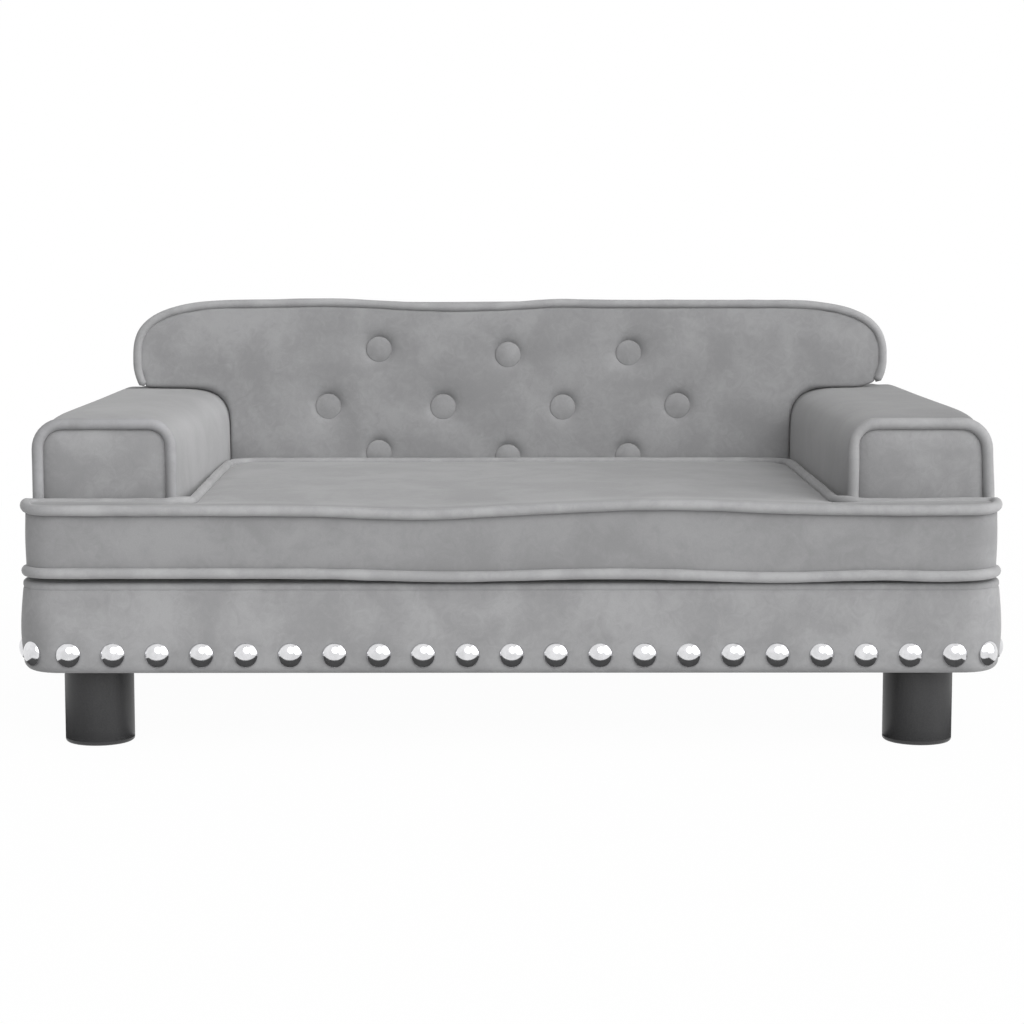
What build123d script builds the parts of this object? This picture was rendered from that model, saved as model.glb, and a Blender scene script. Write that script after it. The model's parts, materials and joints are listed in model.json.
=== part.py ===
from build123d import *
import os
from math import cos, radians, sin

os.makedirs("parts", exist_ok=True)

# An upholstered dog sofa with a loose T-shaped seat cushion. Millimetres, +Z up, front towards -Y.
# The origin lies on the floor under the middle of the sofa.

# Driving dimensions
width = 700
depth = 450
height = 310
fabric = 2  # velvet with its backing and thin wadding
seam = 0.5  # half the thickness of a piping flange, which lies in a seam
seam_room = 4.1  # panels stop this far inside a seam line, just clear of the cushion piping's cord

# Heights of the main levels
leg_top = 59
base_bottom = 58
base_top = 124
deck_board_bottom = 116
lower_seam = 128.3
upper_seam = 175
arm_seam = 231.8

# Base box
base_x = 350.5
base_y = 220
base_corner = 30
base_wadding = 6
base_hem = 20
base_foot_round = 8
base_top_round = 5
centre_rail_width = 30
centre_rail_height = 25
rail_thickness = 18
rail_bottom = base_bottom + fabric
frame_inset = fabric + base_wadding
frame_x = base_x - frame_inset
frame_y = base_y - frame_inset
frame_corner = base_corner - frame_inset
inner_x = frame_x - rail_thickness
inner_y = frame_y - rail_thickness
lining_bottom = base_top - fabric

# Legs and their fasteners
leg_radius = 25
leg_ease = 2
leg_x = 298
leg_y = 172
block_size = 60
block_height = 26
block_chamfer = 18
bolt_radius = 3.9
bolt_length = 66
bolt_above_nut = 6
bolt_clearance = 0.2
nut_bore = 4
nut_barrel = 5
nut_length = 12
nut_flange = 11
nut_flange_thickness = 1.5

# Nail heads
nail_radius = 8.4
nail_rise = 5.2
nail_shank = 1
nail_reach = 14
nail_z = 71
nail_pitch = 31.4
front_nails = 21
side_nails = 13
side_nail_reach = 183.3  # from the middle of a side to its last nail

# Seat cushion, measured to its seam lines
piping_radius = 4
flange_reach = 6
lip_x = width / 2 - piping_radius
lip_front = -depth / 2 + piping_radius
lip_rear = -191
seat_x = 235.5
seat_rear = 153
lip_front_corner = 22
lip_rear_corner = 7.5
notch_corner = 8.7
seat_corner = 20
edge_top = upper_seam + 7  # where the cushion's rolled edge ends and its crown starts
crown_inset = 12

# Zip in the rear of the cushion's band
zip_z = (lower_seam + upper_seam) / 2
zip_half_length = 212
zip_half_height = 12
zip_face = 149.9
zip_tape_thickness = 1.6
coil_half_height = 2.5
coil_rise = 1.5
coil_margin = 4
stop_width = 3
stop_height = 6
stop_rise = 2
slider_x = 200
slider_length = 11
slider_height = 9
slider_plate = 1.5
slider_gap = 0.3
guide_height = 1.6
guide_z = 3.6
bridge_width = 6
bridge_height = 3
bridge_rise = 1.2
tab_length = 20
tab_width = 5
tab_thickness = 1
tab_hole = 1.2

# Arms, measured to the seam line round their front facing
arm_piping = 4.2
arm_inner = 244.2
arm_outer = 339.8
arm_front = -182.1
arm_rear = 219
arm_puff = 3.5
arm_inner_corner = 16
arm_outer_corner = 21
arm_board = 12
arm_board_inset = 8
arm_flange = 6
arm_core_x = 292
arm_core_thickness = 16
arm_core_height = 90
screw_head_radius = 5
screw_head_height = 3
screw_radius = 2.5
screw_hole = 2.7
screw_grip = 45

# Backrest, measured to the seam line round its front panel
back_piping = 3.4
back_flange = 5
back_x = 317
back_seam_top = height - back_piping
back_front = 163
back_rear = base_y + nail_rise
back_low_x = 243
back_low_z = 120.5
wing_z = 233
back_corner = 50
wing_corner = 12
wing_notch = 17
board_front = inner_y
board_thickness = 12
upright_x = 200
upright_width = 40
upright_thickness = 18
upright_top = 285
back_bolt_x = (-upright_x, upright_x)
back_bolt_z = (78, 102)
back_bolt_radius = 3
back_bolt_hole = 3.1
back_bolt_head = 7
back_bolt_head_height = 3
back_bolt_length = 34

# Buttons, tufted a little to the left of the middle
button_radius = 11
button_edge = 2
button_rise = 5
tuft_radius = 27
tuft_floor = 11.5
tuft_depth = 7
twine_radius = 1.3
twine_hole = 1.6
twine_tail = 3
washer_radius = 8
washer_bore = 1.5
washer_thickness = 1.5
upper_row = [(-112, 267), (-2, 264), (101, 265)]
middle_row = [(-155, 219), (-57, 221), (44, 220), (143, 221)]
lower_row = [(-111, 183), (-2, 181), (101, 182)]
buttons = upper_row + middle_row + lower_row
back_panel_front = 158.2
button_seat = back_panel_front + tuft_depth


# Outlines

def at_y(y):
    """The upright plane at y, with its x to the right and its y upwards, as seen from the front."""
    return Plane.XZ.offset(-y)


def section(plane, outline, *measures):
    """One filled outline on a plane."""
    with BuildSketch(plane) as filled:
        with BuildLine():
            outline(*measures)
        make_face()
    return filled.sketch


def discs(plane, spots, radius):
    """Equal discs at the spots of a plane."""
    with BuildSketch(plane) as round_spots:
        with Locations(spots):
            Circle(radius)
    return round_spots.sketch


def dome_radius(rim, rise):
    """Radius of the sphere whose cap has this rim radius and this rise."""
    return (rim**2 + rise**2) / (2 * rise)


def base_outline(inset):
    """Plan of the base, moved inwards by inset."""
    RectangleRounded(2 * (base_x - inset), 2 * (base_y - inset), base_corner - inset)


def cushion_outline(inset):
    """T-shaped plan of the cushion's seam, moved inwards by inset."""
    lip = lip_x - inset
    seat = seat_x - inset
    front = lip_front + inset
    notch = lip_rear - inset
    rear = seat_rear - inset
    lip_rear_radius = max(lip_rear_corner - inset, 0.5)
    lip_side = notch - front
    lip_front_radius = min(lip_front_corner - inset, lip_side - lip_rear_radius - 0.1)
    notch_radius = notch_corner + inset
    seat_radius = seat_corner - inset
    FilletPolyline(
        (-lip, front), (lip, front), (lip, notch), (seat, notch),
        (seat, rear), (-seat, rear), (-seat, notch), (-lip, notch),
        radius=[
            lip_front_radius, lip_front_radius, lip_rear_radius, notch_radius,
            seat_radius, seat_radius, notch_radius, lip_rear_radius,
        ],
        close=True,
    )


def arm_outline(side, inset):
    """Front view of an arm: an arch that stands on the base, moved inwards by inset."""
    inner = side * (arm_inner + inset)
    outer = side * (arm_outer - inset)
    top = arm_seam - inset
    FilletPolyline(
        (inner, base_top), (inner, top), (outer, top), (outer, base_top),
        radius=[0, arm_inner_corner - inset, arm_outer_corner - inset, 0],
        close=True,
    )


def back_outline(edge, low):
    """Front view of the backrest. edge moves the free edges in, low the edges beside arms and base."""
    wing = back_x - edge
    top = back_seam_top - edge
    under = wing_z + low
    side = back_low_x - low
    foot = back_low_z + low
    top_radius = back_corner - edge
    wing_radius = max(wing_corner - edge, 0.5)
    notch_radius = wing_notch + low
    FilletPolyline(
        (-side, foot), (side, foot), (side, under), (wing, under),
        (wing, top), (-wing, top), (-wing, under), (-side, under),
        radius=[0, 0, notch_radius, wing_radius, top_radius, top_radius, wing_radius, notch_radius],
        close=True,
    )


# Base frame

with BuildPart() as frame_ring:
    with BuildSketch(Plane.XY.offset(rail_bottom)):
        RectangleRounded(2 * frame_x, 2 * frame_y, frame_corner)
        Rectangle(2 * inner_x, 2 * inner_y, mode=Mode.SUBTRACT)
    extrude(amount=deck_board_bottom - rail_bottom)

with BuildPart() as base_front_rail:
    add(frame_ring.part)
    split(bisect_by=Plane.XZ.offset(inner_y), keep=Keep.TOP)
base_front_rail.part.label = "base_front_rail"
export_step(base_front_rail.part, "parts/base_front_rail.step")

# The rear rail is drilled for the bolts that hold the backrest's uprights.
back_bolt_spots = [(x, z) for x in back_bolt_x for z in back_bolt_z]
with BuildPart() as base_rear_rail:
    add(frame_ring.part)
    split(bisect_by=Plane.XZ.offset(-inner_y), keep=Keep.BOTTOM)
    bolt_holes = discs(at_y(inner_y), back_bolt_spots, back_bolt_hole)
    extrude(bolt_holes, amount=-rail_thickness, mode=Mode.SUBTRACT)
base_rear_rail.part.label = "base_rear_rail"
export_step(base_rear_rail.part, "parts/base_rear_rail.step")

for side, name in ((-1, "left"), (1, "right")):
    with BuildPart() as base_side_rail:
        add(frame_ring.part)
        split(bisect_by=Plane.XZ.offset(inner_y), keep=Keep.BOTTOM)
        split(bisect_by=Plane.XZ.offset(-inner_y), keep=Keep.TOP)
        split(bisect_by=Plane.YZ, keep=Keep.TOP if side > 0 else Keep.BOTTOM)
    base_side_rail.part.label = f"base_{name}_rail"
    export_step(base_side_rail.part, f"parts/base_{name}_rail.step")

with BuildPart() as base_centre_rail:
    with BuildSketch(Plane.XY.offset(deck_board_bottom - centre_rail_height)):
        Rectangle(centre_rail_width, 2 * inner_y)
    extrude(amount=centre_rail_height)
base_centre_rail.part.label = "base_centre_rail"
export_step(base_centre_rail.part, "parts/base_centre_rail.step")

# Each corner block is chamfered inside and drilled through for its T-nut.
block_x = inner_x - block_size
block_y = inner_y - block_size
with BuildPart() as corner_blocks:
    for sx in (-1, 1):
        for sy in (-1, 1):
            with BuildSketch(Plane.XY.offset(rail_bottom)):
                with BuildLine():
                    Polyline(
                        (sx * inner_x, sy * inner_y),
                        (sx * block_x, sy * inner_y),
                        (sx * block_x, sy * (block_y + block_chamfer)),
                        (sx * (block_x + block_chamfer), sy * block_y),
                        (sx * inner_x, sy * block_y),
                        close=True,
                    )
                make_face()
                with Locations((sx * leg_x, sy * leg_y)):
                    Circle(nut_barrel + 0.1, mode=Mode.SUBTRACT)
            extrude(amount=block_height)
corner_blocks.part.label = "corner_blocks"
export_step(corner_blocks.part, "parts/corner_blocks.step")

leg_spots = [(sx * leg_x, sy * leg_y) for sx in (-1, 1) for sy in (-1, 1)]
block_top = rail_bottom + block_height

with BuildPart() as leg_t_nuts:
    with BuildSketch(Plane.XY.offset(block_top)):
        with Locations(leg_spots):
            Circle(nut_flange)
            Circle(nut_bore, mode=Mode.SUBTRACT)
    extrude(amount=nut_flange_thickness)
    with BuildSketch(Plane.XY.offset(block_top)):
        with Locations(leg_spots):
            Circle(nut_barrel)
            Circle(nut_bore, mode=Mode.SUBTRACT)
    extrude(amount=-nut_length)
leg_t_nuts.part.label = "leg_t_nuts"
export_step(leg_t_nuts.part, "parts/leg_t_nuts.step")

bolt_bottom = block_top + bolt_above_nut - bolt_length
with BuildPart() as leg_bolts:
    with BuildSketch(Plane.XY.offset(bolt_bottom)):
        with Locations(leg_spots):
            Circle(bolt_radius)
    extrude(amount=bolt_length)
leg_bolts.part.label = "leg_bolts"
export_step(leg_bolts.part, "parts/leg_bolts.step")

# A leg is a plain moulded cylinder with an eased foot and a blind hole for its bolt.
for (x, y), name in zip(leg_spots, ("front_left", "rear_left", "front_right", "rear_right")):
    with BuildPart() as leg:
        with BuildSketch():
            with Locations((x, y)):
                Circle(leg_radius)
        extrude(amount=leg_top)
        chamfer(leg.edges().group_by(Axis.Z)[0], leg_ease)
        with BuildSketch(Plane.XY.offset(leg_top)):
            with Locations((x, y)):
                Circle(bolt_radius + bolt_clearance)
        extrude(amount=bolt_bottom - 1 - leg_top, mode=Mode.SUBTRACT)
    leg.part.label = f"leg_{name}"
    export_step(leg.part, f"parts/leg_{name}.step")

# Base upholstery

upright_notch = Rectangle(upright_width + 2, upright_thickness + 1, mode=Mode.PRIVATE)
upright_spots = [(sx * upright_x, board_front - upright_thickness / 2) for sx in (-1, 1)]
screw_spots = [(sx * arm_core_x, y) for sx in (-1, 1) for y in (-110, 120)]

with BuildPart() as deck_board:
    with BuildSketch(Plane.XY.offset(deck_board_bottom)):
        RectangleRounded(2 * frame_x, 2 * frame_y, frame_corner)
        with Locations(upright_spots):
            add(upright_notch, mode=Mode.SUBTRACT)
        with Locations(screw_spots):
            Circle(screw_hole, mode=Mode.SUBTRACT)
    extrude(amount=lining_bottom - deck_board_bottom)
deck_board.part.label = "deck_board"
export_step(deck_board.part, "parts/deck_board.step")

# The wadding fills the wrap's rounded edges round the frame and the deck board.
with BuildPart() as base_core:
    with BuildSketch(Plane.XY.offset(rail_bottom)):
        base_outline(fabric)
    extrude(amount=lining_bottom - rail_bottom)
    fillet(base_core.faces().sort_by(Axis.Z)[0].edges(), base_foot_round - fabric)
    fillet(base_core.faces().sort_by(Axis.Z)[-1].edges(), base_top_round - fabric)

with BuildPart() as base_padding:
    add(base_core.part)
    with BuildSketch(Plane.XY.offset(rail_bottom)):
        RectangleRounded(2 * frame_x, 2 * frame_y, frame_corner)
    extrude(amount=lining_bottom - rail_bottom, mode=Mode.SUBTRACT)
base_padding.part.label = "base_padding"
export_step(base_padding.part, "parts/base_padding.step")

# The velvet wrap turns in over the deck and under the rails, with a hem on both sides.
with BuildPart() as base_cover:
    with BuildSketch(Plane.XY.offset(base_bottom)):
        base_outline(0)
    extrude(amount=base_top - base_bottom)
    fillet(base_cover.faces().sort_by(Axis.Z)[0].edges(), base_foot_round)
    fillet(base_cover.faces().sort_by(Axis.Z)[-1].edges(), base_top_round)
    add(base_core.part, mode=Mode.SUBTRACT)
    with BuildSketch(Plane.XY.offset(base_bottom)):
        base_outline(base_hem)
    extrude(amount=base_top - base_bottom, mode=Mode.SUBTRACT)
base_cover.part.label = "base_cover"
export_step(base_cover.part, "parts/base_cover.step")

with BuildPart() as deck_lining:
    with BuildSketch(Plane.XY.offset(lining_bottom)):
        base_outline(base_hem)
        with Locations(upright_spots):
            add(upright_notch, mode=Mode.SUBTRACT)
        with Locations(screw_spots):
            Circle(screw_hole, mode=Mode.SUBTRACT)
    extrude(amount=fabric)
deck_lining.part.label = "deck_lining"
export_step(deck_lining.part, "parts/deck_lining.step")

with BuildPart() as dust_cover:
    with BuildSketch(Plane.XY.offset(leg_top)):
        base_outline(base_hem)
        with Locations(leg_spots):
            Circle(bolt_radius + 1, mode=Mode.SUBTRACT)
    extrude(amount=rail_bottom - leg_top)
dust_cover.part.label = "dust_cover"
export_step(dust_cover.part, "parts/dust_cover.step")

# Nail heads: a dome on a short shank, square to the face that it is driven into.

with BuildPart() as nail:
    with BuildSketch(Plane.XZ):
        with BuildLine():
            Line((0, -nail_reach), (nail_shank, -nail_reach))
            Line((nail_shank, -nail_reach), (nail_shank, 0))
            Line((nail_shank, 0), (nail_radius, 0))
            RadiusArc((nail_radius, 0), (0, nail_rise), -dome_radius(nail_radius, nail_rise))
            Line((0, nail_rise), (0, -nail_reach))
        make_face()
    revolve(axis=Axis.Z)

first_nail = -nail_pitch * (front_nails - 1) / 2
front_spots = [(first_nail + i * nail_pitch, -base_y, -90) for i in range(front_nails)]
corner_reach = base_corner * sin(radians(45))
corner_x = base_x - base_corner + corner_reach
corner_y = -base_y + base_corner - corner_reach
front_spots += [(-corner_x, corner_y, -135), (corner_x, corner_y, -45)]
side_pitch = 2 * side_nail_reach / (side_nails - 1)


def nail_plane(x, y, heading):
    """A plane on the base's side whose z axis points out at the heading, in degrees from +X."""
    outwards = (cos(radians(heading)), sin(radians(heading)), 0)
    return Plane(origin=(x, y, nail_z), x_dir=(0, 0, 1), z_dir=outwards)


with BuildPart() as nail_heads_front:
    for x, y, heading in front_spots:
        with Locations(nail_plane(x, y, heading)):
            add(nail.part)
nail_heads_front.part.label = "nail_heads_front"
export_step(nail_heads_front.part, "parts/nail_heads_front.step")

for side, name in ((-1, "left"), (1, "right")):
    with BuildPart() as nail_heads_side:
        for i in range(side_nails):
            y = (i - (side_nails - 1) / 2) * side_pitch
            with Locations(nail_plane(side * base_x, y, 90 - 90 * side)):
                add(nail.part)
    nail_heads_side.part.label = f"nail_heads_{name}"
    export_step(nail_heads_side.part, f"parts/nail_heads_{name}.step")

# Arms

# The padding's sections: how far behind the front seam, and how far inside the seam's outline.
arm_back_board = arm_rear - fabric - arm_board
arm_swell_end = arm_rear - arm_front - 14
arm_wrap = [(seam, 4.3), (5, 2.8), (14, 0), (30, -arm_puff), (arm_swell_end, -arm_puff)]
arm_dome = [(seam, 4.3), (2, 5.2), (3.2, 9), (3.6, 15)]


def arm_body(side, extra, rear_face):
    """The arm's padded length from its front seam, its skin moved in by extra."""
    steps = arm_wrap + [(rear_face - arm_front, 2)]
    faces = [section(at_y(arm_front + y), arm_outline, side, inset + extra) for y, inset in steps]
    loft(faces, ruled=True)


for side, name in ((-1, "left"), (1, "right")):
    with BuildPart() as arm_front_board:
        board_face = section(at_y(arm_front - seam), arm_outline, side, arm_board_inset)
        extrude(board_face, amount=-arm_board)
    arm_front_board.part.label = f"{name}_arm_front_board"
    export_step(arm_front_board.part, f"parts/{name}_arm_front_board.step")

    with BuildPart() as arm_rear_board:
        board_face = section(at_y(arm_back_board), arm_outline, side, arm_board_inset)
        extrude(board_face, amount=-arm_board)
    arm_rear_board.part.label = f"{name}_arm_rear_board"
    export_step(arm_rear_board.part, f"parts/{name}_arm_rear_board.step")

    core_front = arm_front - seam + arm_board
    with BuildPart() as arm_core_board:
        with BuildSketch(Plane.XY.offset(base_top)):
            with Locations((side * arm_core_x, (core_front + arm_back_board) / 2)):
                Rectangle(arm_core_thickness, arm_back_board - core_front)
            with Locations([spot for spot in screw_spots if spot[0] * side > 0]):
                Circle(screw_hole, mode=Mode.SUBTRACT)
        extrude(amount=arm_core_height)
    arm_core_board.part.label = f"{name}_arm_core_board"
    export_step(arm_core_board.part, f"parts/{name}_arm_core_board.step")

    with BuildPart() as arm_filling:
        arm_body(side, fabric, arm_rear - fabric)
    with BuildPart() as arm_foam:
        add(arm_filling.part)
        add(arm_front_board.part, mode=Mode.SUBTRACT)
        add(arm_rear_board.part, mode=Mode.SUBTRACT)
        with BuildSketch(Plane.XY.offset(base_top)):
            with Locations((side * arm_core_x, (core_front + arm_back_board) / 2)):
                Rectangle(arm_core_thickness, arm_back_board - core_front)
        extrude(amount=arm_core_height, mode=Mode.SUBTRACT)
    arm_foam.part.label = f"{name}_arm_foam"
    export_step(arm_foam.part, f"parts/{name}_arm_foam.step")

    with BuildPart() as arm_cover:
        arm_body(side, 0, arm_rear)
        add(arm_filling.part, mode=Mode.SUBTRACT)
    arm_cover.part.label = f"{name}_arm_cover"
    export_step(arm_cover.part, f"parts/{name}_arm_cover.step")

    # The facing is a padded front panel, domed a little inside its piping.
    with BuildPart() as arm_facing:
        faces = [section(at_y(arm_front - y), arm_outline, side, inset) for y, inset in arm_dome]
        loft(faces, ruled=True)
    arm_facing.part.label = f"{name}_arm_facing"
    export_step(arm_facing.part, f"parts/{name}_arm_facing.step")

    with BuildPart() as arm_piping_loop:
        with BuildLine(at_y(arm_front)) as arm_path:
            FilletPolyline(
                (side * arm_inner, base_top),
                (side * arm_inner, arm_seam),
                (side * arm_outer, arm_seam),
                (side * arm_outer, base_top),
                radius=[arm_inner_corner, arm_outer_corner],
            )
        with BuildSketch(Plane.XY.offset(base_top)):
            with Locations((side * arm_inner, arm_front)):
                Circle(arm_piping)
            with Locations((side * (arm_inner + arm_flange / 2), arm_front)):
                Rectangle(arm_flange, 2 * seam)
        sweep(path=arm_path.line)
    arm_piping_loop.part.label = f"{name}_arm_piping"
    export_step(arm_piping_loop.part, f"parts/{name}_arm_piping.step")

with BuildPart() as arm_screws:
    under_deck = Plane.XY.offset(deck_board_bottom)
    extrude(discs(under_deck, screw_spots, screw_head_radius), amount=-screw_head_height)
    extrude(discs(under_deck, screw_spots, screw_radius), amount=screw_grip)
arm_screws.part.label = "arm_screws"
export_step(arm_screws.part, "parts/arm_screws.step")

# Backrest

upright_bottom = rail_bottom + 4
with BuildPart() as backrest_uprights:
    with BuildSketch(Plane.XY.offset(upright_bottom)):
        with Locations(upright_spots):
            Rectangle(upright_width, upright_thickness)
    extrude(amount=upright_top - upright_bottom)
    bolt_holes = discs(at_y(board_front), back_bolt_spots, back_bolt_hole)
    extrude(bolt_holes, amount=upright_thickness, mode=Mode.SUBTRACT)
backrest_uprights.part.label = "backrest_uprights"
export_step(backrest_uprights.part, "parts/backrest_uprights.step")

upright_front = board_front - upright_thickness
with BuildPart() as backrest_bolts:
    bolt_face = at_y(upright_front)
    extrude(discs(bolt_face, back_bolt_spots, back_bolt_head), amount=back_bolt_head_height)
    extrude(discs(bolt_face, back_bolt_spots, back_bolt_radius), amount=-back_bolt_length)
backrest_bolts.part.label = "backrest_bolts"
export_step(backrest_bolts.part, "parts/backrest_bolts.step")

# The padding's sections: their y, and how far inside the seam's outline.
back_low = 3.5
board_rear = board_front + board_thickness
back_wrap_front = [(163.5, 3.5), (168.5, 1.8), (185, 0.2)]
back_wrap_rear = [(219, 2), (223, 5)]
back_wrap = back_wrap_front + [(208, 0.2)] + back_wrap_rear
back_crown = [(162.5, 3.5), (160.5, 6), (159, 12), (back_panel_front, 20)]


def back_body(sections, extra):
    """The backrest between the given (y, edge inset) sections, its skin moved in by extra."""
    faces = [section(at_y(y), back_outline, edge + extra, back_low + extra) for y, edge in sections]
    loft(faces, ruled=True)


def tuft_cones(step, front, bottom, mode):
    """Cones round the buttons, from their wide mouths at front to their floors at bottom."""
    for spot in buttons:
        mouth = discs(at_y(front), [spot], tuft_radius + step)
        floor = discs(at_y(bottom), [spot], tuft_floor + step)
        loft([mouth, floor], mode=mode)


def button_holes(radius, start, length):
    """Holes for the button twines."""
    extrude(discs(at_y(start), buttons, radius), amount=-length, mode=Mode.SUBTRACT)


back_board_edge = 9
with BuildPart() as backrest_board:
    with BuildSketch(at_y(board_front)):
        with BuildLine():
            back_outline(back_board_edge, back_board_edge)
        make_face()
        with Locations(buttons):
            Circle(twine_hole, mode=Mode.SUBTRACT)
    extrude(amount=-board_thickness)
backrest_board.part.label = "backrest_board"
export_step(backrest_board.part, "parts/backrest_board.step")

with BuildPart() as backrest_front_panel:
    loft([section(at_y(y), back_outline, edge, edge) for y, edge in back_crown], ruled=True)
    tuft_cones(1, back_panel_front + 1, button_seat + fabric, Mode.ADD)
    tuft_cones(0, back_panel_front, button_seat, Mode.SUBTRACT)
    button_holes(twine_hole, button_seat, fabric)
backrest_front_panel.part.label = "backrest_front_panel"
export_step(backrest_front_panel.part, "parts/backrest_front_panel.step")

with BuildPart() as backrest_front_foam:
    back_body([(162.5, 3.5)] + back_wrap_front + [(board_front, 0.2)], fabric)
    tuft_cones(1, back_panel_front + 1, button_seat + fabric, Mode.SUBTRACT)
    button_holes(twine_hole, button_seat + fabric, board_front - button_seat)
    with BuildSketch(Plane.XY.offset(base_top)):
        with Locations(upright_spots):
            Rectangle(upright_width, upright_thickness)
    extrude(amount=upright_top - base_top, mode=Mode.SUBTRACT)
backrest_front_foam.part.label = "backrest_front_foam"
export_step(backrest_front_foam.part, "parts/backrest_front_foam.step")

with BuildPart() as backrest_rear_wadding:
    back_body([(board_front, 0.2), (board_rear, 0.2)] + back_wrap_rear, fabric)
    add(backrest_board.part, mode=Mode.SUBTRACT)
    button_holes(washer_radius + 0.5, board_front, board_thickness + twine_tail + 2)
backrest_rear_wadding.part.label = "backrest_rear_wadding"
export_step(backrest_rear_wadding.part, "parts/backrest_rear_wadding.step")

with BuildPart() as backrest_inside:
    back_body(back_wrap, fabric)
with BuildPart() as backrest_band:
    back_body(back_wrap, 0)
    add(backrest_inside.part, mode=Mode.SUBTRACT)
    with BuildSketch(Plane.XY.offset(base_top)):
        with Locations(upright_spots):
            Rectangle(upright_width, upright_thickness)
    extrude(amount=4, mode=Mode.SUBTRACT)
backrest_band.part.label = "backrest_band"
export_step(backrest_band.part, "parts/backrest_band.step")

with BuildPart() as backrest_rear_panel:
    rear_steps = ((223, 5, back_low), (back_rear, 9, 6))
    loft([section(at_y(y), back_outline, edge, under) for y, edge, under in rear_steps], ruled=True)
backrest_rear_panel.part.label = "backrest_rear_panel"
export_step(backrest_rear_panel.part, "parts/backrest_rear_panel.step")

# The piping starts on the wing's lower corner, runs over the top and ends on the other wing.
corner_z = wing_z + wing_corner
corner_centre = back_x - wing_corner
with BuildPart() as backrest_piping:
    with BuildLine(at_y(back_front)) as back_path:
        CenterArc((-corner_centre, corner_z), wing_corner, 210, -30)
        Line((-back_x, corner_z), (-back_x, back_seam_top - back_corner))
        CenterArc((-back_x + back_corner, back_seam_top - back_corner), back_corner, 180, -90)
        Line((-back_x + back_corner, back_seam_top), (back_x - back_corner, back_seam_top))
        CenterArc((back_x - back_corner, back_seam_top - back_corner), back_corner, 90, -90)
        Line((back_x, back_seam_top - back_corner), (back_x, corner_z))
        CenterArc((corner_centre, corner_z), wing_corner, 0, -30)
    back_start = Plane(
        origin=back_path.line @ 0,
        x_dir=(cos(radians(30)), 0, sin(radians(30))),
        z_dir=back_path.line % 0,
    )
    with BuildSketch(back_start):
        Circle(back_piping)
        with Locations((back_flange / 2, 0)):
            Rectangle(back_flange, 2 * seam)
    sweep(path=back_path.line)
backrest_piping.part.label = "backrest_piping"
export_step(backrest_piping.part, "parts/backrest_piping.step")

# A covered button: a shallow dome with a rolled rim.
with BuildPart() as button:
    with BuildSketch(Plane.XZ):
        with BuildLine():
            Line((0, 0), (button_radius, 0))
            Line((button_radius, 0), (button_radius, button_edge))
            RadiusArc(
                (button_radius, button_edge), (0, button_rise),
                -dome_radius(button_radius, button_rise - button_edge),
            )
            Line((0, button_rise), (0, 0))
        make_face()
    revolve(axis=Axis.Z)

with BuildPart() as backrest_buttons:
    for x, z in buttons:
        with Locations(Plane(origin=(x, button_seat, z), x_dir=(1, 0, 0), z_dir=(0, -1, 0))):
            add(button.part)
backrest_buttons.part.label = "backrest_buttons"
export_step(backrest_buttons.part, "parts/backrest_buttons.step")

with BuildPart() as button_twines:
    twine_ends = discs(at_y(button_seat), buttons, twine_radius)
    extrude(twine_ends, amount=-(board_rear + twine_tail - button_seat))
button_twines.part.label = "button_twines"
export_step(button_twines.part, "parts/button_twines.step")

with BuildPart() as button_washers:
    with BuildSketch(at_y(board_rear)):
        with Locations(buttons):
            Circle(washer_radius)
            Circle(washer_bore, mode=Mode.SUBTRACT)
    extrude(amount=-washer_thickness)
button_washers.part.label = "button_washers"
export_step(button_washers.part, "parts/button_washers.step")

# Seat cushion

def cushion_body(sections, extra):
    """A height of the cushion between the given (z, inset) sections, its skin moved in by extra."""
    faces = [section(Plane.XY.offset(z), cushion_outline, inset + extra) for z, inset in sections]
    loft(faces, ruled=True)


def cushion_crown(start, drop, extra):
    """The crown over the seat itself, which rises on from the top of the cushion's rolled edge."""
    front = lip_front + crown_inset + extra
    rear = seat_rear - crown_inset - extra
    half_width = seat_x - crown_inset - extra
    faces = []
    for rise, inset in ((0, 0), (2.2, 35), (3.4, 85)):
        with BuildSketch(Plane.XY.offset(start - drop + rise)) as layer:
            with Locations((0, (front + rear) / 2)):
                corner = crown_inset + inset / 2
                RectangleRounded(2 * (half_width - inset), rear - front - 2 * inset, corner)
        faces.append(layer.sketch)
    loft(faces, ruled=True)


# Sections of the cushion's skin and filling: their z, and how far inside the seam's outline.
top_roll = [
    (upper_seam + seam, seam_room), (upper_seam + 3.5, 5.1), (upper_seam + 6, 8), (edge_top, 11),
]
foam_roll = [
    (upper_seam + seam, seam_room), (upper_seam + 2, 5), (upper_seam + 4, 7.5),
    (edge_top - fabric, 10.5),
]
band_swell = [(lower_seam + seam, seam_room), (zip_z, 1.5), (upper_seam - seam, seam_room)]
bottom_roll = [(base_top, 10), (base_top + 1.2, 6.2), (lower_seam - seam, seam_room)]
foam_bottom = [(base_top + fabric, 8), (lower_seam - seam, seam_room)]

with BuildPart() as foam_above:
    cushion_body(foam_roll, fabric)
    cushion_crown(edge_top, fabric, fabric)

with BuildPart() as foam_below:
    cushion_body(foam_bottom, fabric)

with BuildPart() as foam_middle:
    cushion_body(band_swell, fabric)

with BuildPart() as cushion_foam:
    add(foam_middle.part)
    add(foam_above.part)
    add(foam_below.part)
    for z in (upper_seam, lower_seam):
        slot_fill = section(Plane.XY.offset(z - seam), cushion_outline, seam_room + fabric)
        extrude(slot_fill, amount=2 * seam)
    with BuildSketch(Plane.XY.offset(zip_z - zip_half_height)):
        with Locations((0, zip_face - zip_tape_thickness + 5)):
            Rectangle(2 * zip_half_length, 10)
    extrude(amount=2 * zip_half_height, mode=Mode.SUBTRACT)
cushion_foam.part.label = "cushion_foam"
export_step(cushion_foam.part, "parts/cushion_foam.step")

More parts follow.
